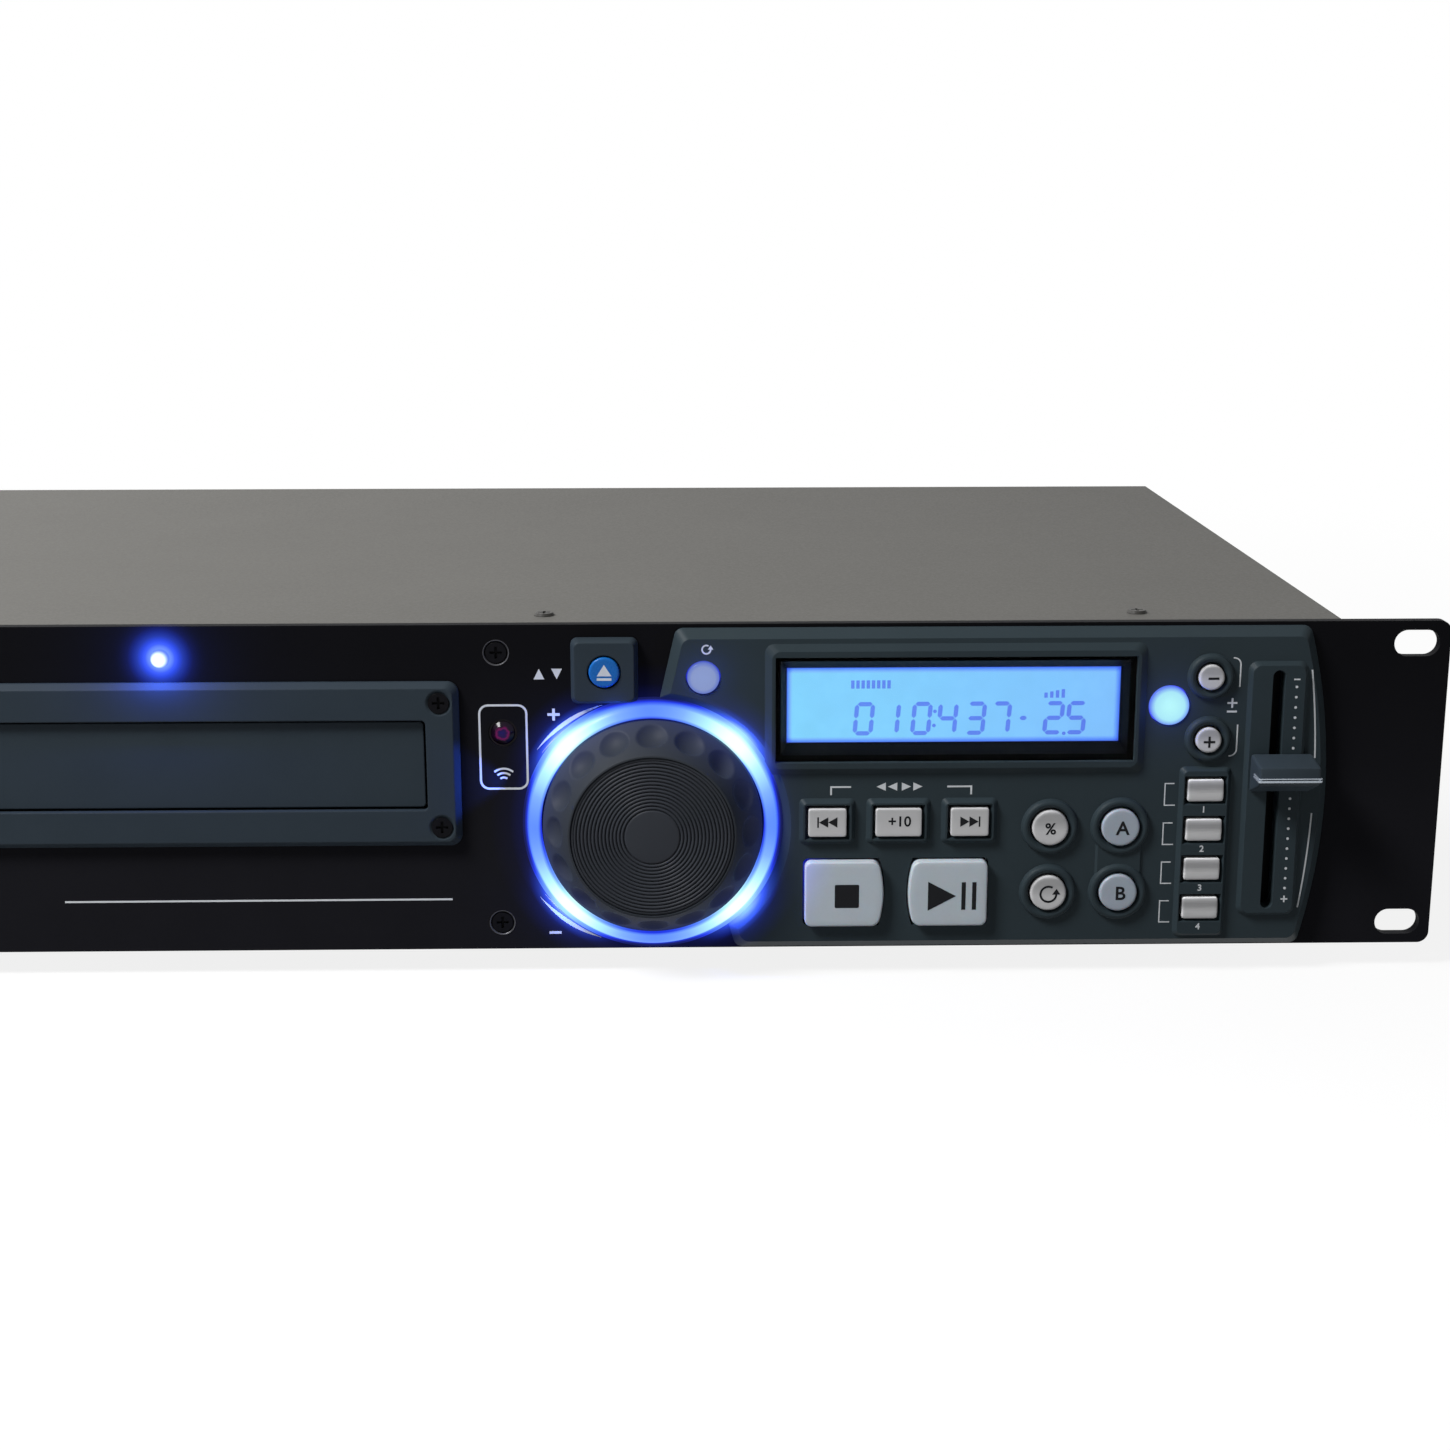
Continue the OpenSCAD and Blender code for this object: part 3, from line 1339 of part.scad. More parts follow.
module drive_belt() color("#161616") translate([tray_x, gear_y, belt_z]) {
    linear_extrude(height = belt_h) difference() {
        belt_loop(belt_t + touch);
        belt_loop(touch);
    }
}

module belt_loop(grow) hull() {
    translate([pulley_x, 0]) circle(r = pulley_groove_r + grow, $fn = 64);
    translate([motor_x, 0]) circle(r = motor_groove_r + grow, $fn = 64);
}

module clamp_bridge() color("#8f9296") translate([tray_x, 0, clamp_z]) difference() {
    block([-loader_out, disc_y - 20, 0], [loader_out, disc_y + 20, clamp_t]);
    translate([0, disc_y, -1]) cylinder(d = puck_d + 3, h = clamp_t + 2);
}

module clamp_puck() color("#d8d8d2") translate([tray_x, disc_y, clamp_z + clamp_t + touch]) {
    cylinder(d = puck_d + 8, h = 1.5);
    translate([0, 0, -clamp_t - 4.6]) cylinder(d = puck_d, h = clamp_t + 5);
}

// Optical unit on its tilting frame

module traverse_frame() color("#8f9296") translate([tray_x, 0, 0]) difference() {
    z1 = traverse_z + traverse_t;
    union() {
        block([-traverse_half, traverse_y0, traverse_z], [traverse_half, traverse_end_y, z1]);
        for (x = [-rod_x, rod_x], y = [rod_y0, rod_end_y]) {
            block([x - 3, y, rod_z - 3], [x + 3, y + lug_t, traverse_z + 1]);
        }
        block([screw_x - 3, rod_y0, screw_z - 3], [screw_x + 3, rod_y0 + lug_t, traverse_z + 1]);
        for (s = [-1, 1]) mirror([s < 0 ? 1 : 0, 0, 0]) {
            block(
                [traverse_half - 4, pivot_y - 6, pivot_z - 4], [traverse_half, pivot_y + 6, traverse_z + 1]
            );
        }
        translate([-traverse_half - pivot_wall, pivot_y, pivot_z]) rotate([0, 90, 0]) {
            cylinder(d = pivot_d, h = pivot_wall + 4);
        }
        translate([traverse_half - 4, pivot_y, pivot_z]) rotate([0, 90, 0]) {
            cylinder(d = pivot_d, h = pivot_wall + 4);
        }
    }
    block(
        [-sled_half - 2, sled_y - 4, traverse_z - 1],
        [sled_half + 2, sled_y + sled_l + sled_travel + 4, z1 + 1]
    );
    translate([0, disc_y, traverse_z - 1]) cylinder(d = 11, h = 10);
    for (x = [-rod_x, rod_x]) translate([x, 0, rod_z]) {
        rod_y(rod_d / 2 + touch / 4, rod_y0 + 1, rod_end_y + lug_t - 1);
    }
    translate([screw_x, 0, screw_z]) rod_y(lead_d / 2 + bore_fit, rod_y0 + 1, rod_y0 + lug_t + 1);
}

module guide_rods() color("#c8ccd0") for (x = [-rod_x, rod_x]) translate([tray_x + x, 0, rod_z]) {
    rod_y(rod_d / 2, rod_y0 + 1, rod_end_y + lug_t - 1);
}

module traverse_motors() color("#9a9da0") translate([tray_x, 0, 0]) {
    translate([0, disc_y, traverse_z - 10]) difference() {
        cylinder(d = spindle_d, h = 10);
        translate([0, 0, 2]) cylinder(d = 2 + 2 * bore_fit, h = 10);
    }
    translate([screw_x, 0, screw_z]) difference() {
        rod_y(sled_motor_d / 2, sled_motor_y, sled_motor_y + sled_motor_l);
        rod_y(lead_d / 2 + bore_fit, sled_motor_y - 1, sled_motor_y + 7);
    }
    block(
        [screw_x - 4, sled_motor_y + 2, screw_z + sled_motor_d / 2 - 1.2],
        [screw_x + 4, sled_motor_y + sled_motor_l - 2, traverse_z]
    );
}

module turntable_hub() color("#2a2a2c") translate([tray_x, disc_y, 0]) {
    platform_z = recess_z + 1.6;
    translate([0, 0, platform_z - 1.2]) cylinder(d = platform_d, h = 1.2);
    translate([0, 0, platform_z]) cylinder(d1 = 14.8, d2 = 13.4, h = 1.8);
    translate([0, 0, traverse_z + traverse_t + run]) {
        cylinder(d = 10, h = platform_z - 1.2 - traverse_z - traverse_t - run);
    }
    translate([0, 0, traverse_z - 7]) cylinder(d = 2, h = platform_z - traverse_z + 6);
}

module laser_sled() color("#3b3d42") translate([tray_x, 0, 0]) difference() {
    z1 = traverse_z + 1;
    union() {
        block([-sled_half, sled_y, z1 - sled_h], [sled_half, sled_y + sled_l, z1]);
        for (s = [-1, 1]) mirror([s < 0 ? 1 : 0, 0, 0]) {
            block(
                [sled_half - 1, sled_y + 2, rod_z - 3], [rod_x + 4, sled_y + sled_l - 2, traverse_z - 1]
            );
        }
        block(
            [rod_x, sled_y + 10, screw_z - 3], [screw_x + 3, sled_y + 18, traverse_z - 1]
        );
        translate([0, lens_y, z1]) cylinder(d = 12, h = 1.4);
        translate([0, lens_y, z1]) cylinder(d = 6.4, h = 2.6);
    }
    translate([-rod_x, 0, rod_z]) rod_y(rod_d / 2 + bore_fit, 0, case_d);
    translate([rod_x, 0, rod_z]) rod_y(rod_d / 2 + bore_fit, 0, case_d);
    translate([screw_x, 0, screw_z]) rod_y(lead_d / 2 + touch, 0, case_d);
}

module lead_screw() color("#c8ccd0") translate([tray_x + screw_x, 0, screw_z]) {
    rod_y(lead_d / 2, rod_y0 + 1.2, sled_motor_y + 6);
}

front_panel();
base_pan();
top_cover();
rear_panel();
rubber_feet();
cover_screws();
front_screws();
tray_bezel();
control_bezel();
eject_plate();
display_frame();
display_lens();
lcd_module();
jog_light_ring();
sensor_lens();
status_led();
control_board();
main_board();
power_supply();
mains_inlet();
output_jacks();
flat_cables();
loader_frame();
load_motor();
drive_belt();
clamp_bridge();
disc_tray();
tray_front();
motor_pulley();
pulley_gear();
tray_gear();
traverse_frame();
guide_rods();
traverse_motors();
turntable_hub();
laser_sled();
lead_screw();
clamp_puck();
jog_wheel();
jog_insert();
power_rocker();
fader_cap();
eject_key();
jog_mode_key();
track_back_key();
plus_ten_key();
track_next_key();
cue_key();
play_key();
pitch_key();
reloop_key();
loop_in_key();
loop_out_key();
bend_down_key();
bend_up_key();
lit_pitch_key();
time_key();
single_key();
program_key();
repeat_key();
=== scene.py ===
"""Looks of a rack-mount disc player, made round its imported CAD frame."""

import json
import math

import bmesh
import bpy
from mathutils import Matrix, Vector


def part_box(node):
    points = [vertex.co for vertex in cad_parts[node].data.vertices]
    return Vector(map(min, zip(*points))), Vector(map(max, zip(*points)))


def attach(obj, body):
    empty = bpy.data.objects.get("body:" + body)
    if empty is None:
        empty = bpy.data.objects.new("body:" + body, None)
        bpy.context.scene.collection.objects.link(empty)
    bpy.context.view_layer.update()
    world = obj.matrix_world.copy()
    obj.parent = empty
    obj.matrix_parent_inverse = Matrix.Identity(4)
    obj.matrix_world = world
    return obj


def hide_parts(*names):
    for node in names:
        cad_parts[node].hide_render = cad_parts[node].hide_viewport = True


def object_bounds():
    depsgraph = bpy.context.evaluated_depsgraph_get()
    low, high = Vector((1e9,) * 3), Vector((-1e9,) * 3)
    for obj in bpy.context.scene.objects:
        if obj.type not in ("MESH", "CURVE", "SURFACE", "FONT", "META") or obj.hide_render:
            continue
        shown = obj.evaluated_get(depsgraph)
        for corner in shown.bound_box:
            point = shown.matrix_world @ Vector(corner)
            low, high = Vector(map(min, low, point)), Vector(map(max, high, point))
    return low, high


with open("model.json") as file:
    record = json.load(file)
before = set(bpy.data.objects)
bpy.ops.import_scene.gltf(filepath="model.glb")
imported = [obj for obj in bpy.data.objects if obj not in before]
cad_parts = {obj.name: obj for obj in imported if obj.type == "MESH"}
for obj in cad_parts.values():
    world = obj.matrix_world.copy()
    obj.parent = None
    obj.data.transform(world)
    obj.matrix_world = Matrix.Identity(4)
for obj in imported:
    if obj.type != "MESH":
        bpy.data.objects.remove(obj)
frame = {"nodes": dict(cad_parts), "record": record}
cad_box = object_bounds()

# Sizes below are in millimetres; MM turns them into the frame's metres
MM = 0.001
BODY_OF = {n: body for body, nodes in frame["record"]["behaviour"]["bodies"].items() for n in nodes}
SLOT_OF = {row["node"]: row["material_slot"] for row in frame["record"]["subparts"]}


def box_mm(node):
    """Lowest and highest corner of a CAD node, in millimetres."""
    low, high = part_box(node)
    return low / MM, high / MM


def middle(node):
    """Centre of a CAD node seen from the front, as (x, z)."""
    low, high = box_mm(node)
    return (low.x + high.x) / 2, (low.z + high.z) / 2


# Planes that face the viewer
PANEL_FACE = box_mm("front_panel")[0].y
CONTROL_FACE = box_mm("display_lens")[0].y
COLLAR_FACE = box_mm("control_bezel")[0].y
LCD_FACE = box_mm("lcd_module")[0].y

ROUND_KEYS = [
    "eject_key", "jog_mode_key", "pitch_key", "reloop_key", "loop_in_key", "loop_out_key", "bend_down_key",
    "bend_up_key", "lit_pitch_key",
]
TRACK_KEYS = ["track_back_key", "plus_ten_key", "track_next_key"]
MODE_KEYS = ["time_key", "single_key", "program_key", "repeat_key"]

# Lip that holds a key behind its opening
KEY_LIP = 0.8

# Thickness of printed marks, and depth of a surface's grain at full strength
INK = 0.03
RELIEF = 0.1
# Keeps the corners of printed lines from reaching far out
SHARPEST = 0.4


# Colours and materials

def srgb(red, green, blue):
    """Linear colour of an 8-bit screen colour."""
    def channel(value):
        value /= 255
        return value / 12.92 if value <= 0.04045 else ((value + 0.055) / 1.055) ** 2.4
    return channel(red), channel(green), channel(blue), 1.0


def stops(*rows):
    """Stops of a ramp: each row is a place and an 8-bit screen colour."""
    return [(place, srgb(*colour)) for place, *colour in rows]


class Tree:
    """A node tree of a material or a world, with short calls to add and join its nodes."""

    def __init__(self, owner):
        owner.use_nodes = True
        self.tree = owner.node_tree

    def add(self, kind, inputs=None, **settings):
        node = self.tree.nodes.new(kind)
        for key, value in settings.items():
            setattr(node, key, value)
        for key, value in (inputs or {}).items():
            self.put(node.inputs[key], value)
        return node

    def put(self, socket, value):
        if isinstance(value, bpy.types.NodeSocket):
            self.tree.links.new(value, socket)
        else:
            socket.default_value = value

    def math(self, operation, first, second):
        return self.add("ShaderNodeMath", {0: first, 1: second}, operation=operation).outputs[0]


class Graph(Tree):
    """A material's node tree, with calls for what its finishes are made of."""

    def __init__(self, name):
        self.material = bpy.data.materials.new(name)
        super().__init__(self.material)
        self.shader = self.tree.nodes["Principled BSDF"]
        self.coord = self.add("ShaderNodeTexCoord").outputs["Object"]

    def set(self, **values):
        for key, value in values.items():
            self.put(self.shader.inputs[key.replace("_", " ")], value)

    def noise(self, grain, detail=3.0, stretch=(1, 1, 1)):
        """Noise whose patches are about grain millimetres wide, drawn out along an axis by stretch."""
        scaled = self.add("ShaderNodeMapping", {"Vector": self.coord, "Scale": tuple(1 / s for s in stretch)})
        return self.add("ShaderNodeTexNoise", {
            "Vector": scaled.outputs["Vector"], "Scale": 1 / (grain * MM), "Detail": detail,
        }).outputs["Fac"]

    def span(self, value, low, high, start=0.3, end=0.7):
        return self.add("ShaderNodeMapRange", {
            "Value": value, "From Min": start, "From Max": end, "To Min": low, "To Max": high,
        }).outputs["Result"]

    def size(self, value):
        return self.add("ShaderNodeMath", {0: value}, operation="ABSOLUTE").outputs[0]

    def along(self, axis):
        return self.add("ShaderNodeSeparateXYZ", {0: self.coord}).outputs[axis]

    def ramp(self, value, colours, interpolation="LINEAR"):
        node = self.add("ShaderNodeValToRGB", {"Fac": value})
        node.color_ramp.interpolation = interpolation
        elements = node.color_ramp.elements
        while len(elements) < len(colours):
            elements.new(1.0)
        for element, (place, colour) in zip(elements, colours):
            element.position = place
            element.color = colour
        return node.outputs["Color"]

    def bump(self, height, strength, soft=0.0):
        """A grain's relief, on edges rounded to a radius in millimetres."""
        relief = self.add("ShaderNodeBump", {"Height": height, "Strength": strength, "Distance": RELIEF * MM})
        if soft:
            edge = self.add("ShaderNodeBevel", {"Radius": soft * MM}, samples=6)
            self.put(relief.inputs["Normal"], edge.outputs["Normal"])
        return relief.outputs["Normal"]


def darker(colour, share):
    return tuple(c * share for c in colour[:3]) + (1.0,)


def finish(
        name, colour, rough=(0.45, 0.6), grain=0.3, bump=0.15, shade=0.86, patch=14, stretch=(1, 1, 1),
        soft=0.0, gloss=0.5, spill=None, glare=None, fade=None, **more,
):
    """A moulded, painted or metal surface with a fine grain and a faint change of shade across it.

    A fade paints shade: the colour darkens between two heights, and a fade is those two heights and the share
    of the colour that is left at the second.
    """
    g = Graph(name)
    colour = srgb(*colour)
    fine = g.noise(grain, 3.0, stretch)
    broad = g.noise(patch, 2.0)
    tone = g.math("ADD", g.math("MULTIPLY", fine, 0.5), g.math("MULTIPLY", broad, 0.5))
    base = g.ramp(tone, [(0.32, darker(colour, shade)), (0.68, colour)])
    # painted shade: the base colour is scaled down from the first height to the second
    if fade:
        low, high, left = fade
        level = g.span(g.along("Z"), 1.0, left, low * MM, high * MM)
        base = g.add("ShaderNodeVectorMath", {0: base, "Scale": level}, operation="SCALE").outputs[0]
    g.set(
        Base_Color=base,
        Roughness=g.span(fine, *rough),
        Normal=g.bump(fine, bump, soft),
        Specular_IOR_Level=gloss,
        **more,
    )
    if spill:
        ring_spill(g, *spill)
    if glare is not None:
        ring_glare(g, glare)
    return g.material


def glowing(name, colours, value_of, strength=1.0):
    """A lit surface whose colour follows a value across it."""
    g = Graph(name)
    value = value_of(g)
    grain = g.noise(5)
    g.set(
        Base_Color=srgb(12, 14, 22),
        Specular_IOR_Level=0.08,
        Emission_Color=g.ramp(value, colours),
        Emission_Strength=g.span(grain, strength * 0.98, strength * 1.02),
        Roughness=g.span(grain, 0.2, 0.3),
    )
    return g.material


def near(g, place, reach):
    """A value that falls from 1 at a place to 0 at a distance, both in millimetres."""
    away = g.add("ShaderNodeVectorMath", {0: g.coord, 1: tuple(p * MM for p in place)}, operation="DISTANCE")
    return g.add("ShaderNodeMapRange", {
        "Value": away.outputs["Value"], "From Min": 0.0, "From Max": reach * MM, "To Min": 1.0, "To Max": 0.0,
    }, interpolation_type="SMOOTHSTEP").outputs["Result"]


def hot_spots(places, reach):
    """The strongest of several bright places."""
    def value(g):
        result = near(g, places[0], reach)
        for place in places[1:]:
            result = g.math("MAXIMUM", result, near(g, place, reach))
        return result
    return value


# The lit area of the display, the width of its soft edge, and the share of the light at its right end
LIT_W, LIT_H = 87.2, 20.0
LIT_MARGIN = 0.3
LIT_EDGE = 1.8
LIT_RIGHT = 0.74


def inside(g, axis, centre, half, edge):
    """Rises from 0 at the ends of a stretch along an axis to 1 an edge's width inside them."""
    away = g.size(g.math("SUBTRACT", g.along(axis), centre * MM))
    return g.span(away, 1.0, 0.0, (half - edge) * MM, half * MM)


def display_light(g):
    """Falls from left to right across the backlight, and off along its edges."""
    x, z = middle("lcd_module")
    across = g.span(g.along("X"), 1.0, LIT_RIGHT, (x - LIT_W / 2) * MM, (x + LIT_W / 2) * MM)
    cloud = g.span(g.noise(30, 1.0), 0.97, 1.02)
    edges = g.math(
        "MULTIPLY",
        inside(g, "X", x, LIT_W / 2 + LIT_MARGIN, LIT_EDGE),
        inside(g, "Z", z, LIT_H / 2 + LIT_MARGIN, LIT_EDGE),
    )
    return g.math("MULTIPLY", g.math("MULTIPLY", across, cloud), edges)


JOG_X, JOG_Z = middle("jog_wheel")
RING_LOW, RING_HIGH = box_mm("jog_light_ring")
RING_R = (RING_HIGH.x - RING_LOW.x) / 2
RING_W = 3.8
SKIRT_W = 1.15
SKIRT_T = 0.25
RING_MID = RING_R - RING_W / 2
# The ring's bright places, and how far they reach in the ring and in its light on what lies round it
HOT_ANGLES = (136, 46, -44, -135)
HOT_PLACES = [
    (JOG_X + RING_MID * math.cos(a), RING_LOW.y + 1, JOG_Z + RING_MID * math.sin(a))
    for a in map(math.radians, HOT_ANGLES)
]
RING_REACH = 24
SPILL_REACH = 22
LED_X, LED_Z = middle("status_led")
LED_TIP = box_mm("status_led")[0].y


def jog_radius(g):
    """Distance from the jog wheel's axis."""
    flat = g.add("ShaderNodeVectorMath", {0: g.coord, 1: (1, 0, 1)}, operation="MULTIPLY").outputs[0]
    axis = (JOG_X * MM, 0, JOG_Z * MM)
    return g.add("ShaderNodeVectorMath", {0: flat, 1: axis}, operation="DISTANCE").outputs["Value"]


def ring_spill(g, start, reach, colour, least):
    """The ring's light on what lies near it, fading over a reach from a radius about the wheel's axis."""
    level = g.span(jog_radius(g), 1.0, 0.0, start * MM, (start + reach) * MM)
    hot = g.span(hot_spots(HOT_PLACES, SPILL_REACH)(g), least, 1.0, 0.0, 1.0)
    shine = g.math("MULTIPLY", g.math("MULTIPLY", level, level), hot)
    g.set(Emission_Color=colour, Emission_Strength=shine)


# The glare close to the ring and further off: its level, and how far past the ring it starts and ends
GLARE_CLOSE = (0.7, 1.5, 4.6)
GLARE_FAR = (0.42, 0.0, 10.0)
# Its share away from the bright places, and its colours from the faintest to the brightest
GLARE_LEAST = 0.06
GLARE_STOPS = stops(
    (0.0, 0, 0, 0), (0.1, 6, 12, 66), (0.2, 14, 30, 118), (0.35, 30, 52, 160), (0.5, 40, 70, 220),
    (0.65, 62, 95, 251), (0.85, 122, 160, 251), (1.0, 150, 215, 250),
)


def ring_glare(g, lamp_reach):
    """The ring's light on the panel and the bezel round it, pale at its bright places and blue further off.

    A lamp reach adds the halo of the status lamp.
    """
    away = jog_radius(g)
    close, far = (
        g.span(away, level, 0.0, (RING_R + start) * MM, (RING_R + end) * MM)
        for level, start, end in (GLARE_CLOSE, GLARE_FAR)
    )
    hot = hot_spots(HOT_PLACES, SPILL_REACH)(g)
    spread = g.span(g.math("MULTIPLY", hot, hot), GLARE_LEAST, 1.0, 0.0, 1.0)
    shine = g.math("MULTIPLY", g.math("ADD", close, far), spread)
    if lamp_reach:
        halo = near(g, (LED_X, PANEL_FACE, LED_Z), lamp_reach)
        shine = g.math("MAXIMUM", shine, g.math("MULTIPLY", halo, halo))
    g.set(Emission_Color=g.ramp(shine, GLARE_STOPS), Emission_Strength=1.0)


# The ring's level between its bright places, what these add, the rims' share, and how far they follow them
RING_LEVEL = 0.32
RING_LIFT = 0.7
RIM_LEVEL = 0.3
RIM_FILL = 0.82


def ring_light(g):
    """Bright at the lamps behind the ring, and dimmer at its rims."""
    away = g.size(g.math("SUBTRACT", jog_radius(g), RING_MID * MM))
    body = g.span(away, 1.0, RIM_LEVEL, RING_W * 0.3 * MM, RING_W * 0.52 * MM)
    skirt = g.span(away, 1.0, 0.0, RING_W * 0.46 * MM, (RING_W * 0.5 + SKIRT_W * 0.6) * MM)
    hot = hot_spots(HOT_PLACES, RING_REACH)(g)
    level = g.math("ADD", g.math("MULTIPLY", hot, RING_LIFT), RING_LEVEL)
    fill = g.math("MULTIPLY", g.math("MULTIPLY", hot, hot), RIM_FILL)
    rims = g.span(fill, g.math("MULTIPLY", body, skirt), 1.0, 0.0, 1.0)
    return g.math("MULTIPLY", level, rims)


def layered(name, axis, levels, **more):
    """A board's finish: each level is a place along an axis and the colour from there on."""
    g = Graph(name)
    first, last = levels[0][0], levels[-1][0]
    place = g.span(g.along(axis), 0.0, 1.0, first * MM, last * MM)
    shares = [((level - first) / (last - first), colour) for level, colour in levels]
    fine = g.noise(0.6)
    g.set(
        Base_Color=g.ramp(place, shares, "CONSTANT"),
        Roughness=g.span(fine, 0.35, 0.55),
        Normal=g.bump(fine, 0.15),
        **more,
    )
    return g.material


# Boards: the spacers' height, the thickness, and where the control board stands
SPACER_H = 6.0
BOARD_T = 1.6
BOARD_Y = 9.0
BOARD_SKIN = 0.02
BOARD_GREEN = srgb(24, 78, 46)
PART_BLACK = srgb(18, 18, 20)
SPACER_TAN = srgb(176, 160, 110)
PLUG_PALE = srgb(222, 216, 200)


def standing_board(name):
    """Spacers, a green board and dark parts on it, from the floor up."""
    low, high = box_mm(name)
    board = low.z + SPACER_H
    return layered(name, "Z", [
        (low.z, SPACER_TAN), (board, BOARD_GREEN), (board + BOARD_T + BOARD_SKIN, PART_BLACK),
        (high.z, PART_BLACK),
    ])


def control_board():
    """Dark switches in front of a green board and a pale plug behind it."""
    low, high = box_mm("control_board")
    return layered("control_board", "Y", [
        (low.y, PART_BLACK), (BOARD_Y - BOARD_SKIN, BOARD_GREEN), (BOARD_Y + BOARD_T + BOARD_SKIN, PLUG_PALE),
        (high.y, PLUG_PALE),
    ], Specular_IOR_Level=0.1)


def key_glow(node, reach):
    """Bright in the middle of a lit key."""
    x, z = middle(node)
    return hot_spots([(x, box_mm(node)[0].y, z)], reach)


def sensor_finish():
    """A dark lens with a red ring inside it: the ring is a painted highlight."""
    g = Graph("sensor_red")
    x, z = middle("sensor_lens")
    place = near(g, (x, box_mm("sensor_lens")[0].y, z), 3.6)
    cloud = g.noise(1.4, 2.0)
    # painted highlight: a red ring at a set distance from the lens's middle
    g.set(
        Base_Color=g.ramp(g.math("ADD", place, g.span(cloud, -0.12, 0.12)), stops(
            (0.0, 12, 6, 14), (0.4, 22, 5, 26), (0.62, 112, 10, 78), (0.8, 34, 8, 62), (1.0, 22, 10, 84),
        )),
        Roughness=g.span(cloud, 0.1, 0.2),
        Specular_IOR_Level=0.12,
    )
    return g.material


def brushed(node, sheen_greys):
    """A brushed metal key with a painted sheen: its grey follows its height in lighter and darker bands that
    stand in for reflections on its face; each entry is a share of the height and a grey.
    """
    g = Graph(node)
    low, high = box_mm(node)
    half = (high.z - low.z) / 2 - KEY_LIP
    centre = (high.z + low.z) / 2
    # painted sheen: the grey is set by the height on the key's face
    place = g.span(g.along("Z"), 0.0, 1.0, (centre - half) * MM, (centre + half) * MM)
    brush = g.noise(0.16, 3.0, (30, 1, 1))
    shaken = g.math("ADD", place, g.span(brush, -0.03, 0.03))
    g.set(
        Base_Color=g.ramp(shaken, stops(*((share, grey, grey, grey + 1) for share, grey in sheen_greys))),
        Roughness=g.span(brush, 0.34, 0.46),
        Normal=g.bump(brush, 0.08),
        Specular_IOR_Level=0.25,
    )
    return g.material


def look(*row, **more):
    """What finish takes after the name."""
    return row, more


def frosted(colour, spill=None):
    """A milky moulded key."""
    return look(
        colour, (0.3, 0.4), 0.5, 0.04, 0.95, 5, gloss=0.3, spill=spill,
        Subsurface_Weight=0.2, Subsurface_Scale=0.002,
    )


# Painted sheen of the brushed keys: greys from bottom to top, in bands that stand in for reflections
MODE_SHEEN_GREYS = [
    (0.0, 211), (0.12, 223), (0.36, 209), (0.5, 178), (0.62, 146), (0.73, 138), (0.83, 150), (0.93, 176),
    (1.0, 246),
]
ROUND_SHEEN_GREYS = [(0.0, 192), (0.4, 194), (0.56, 176), (0.7, 160), (0.88, 158), (1.0, 196)]
TRACK_SHEEN_GREYS = [(0.0, 192), (0.3, 190), (0.6, 184), (0.92, 180), (1.0, 196)]

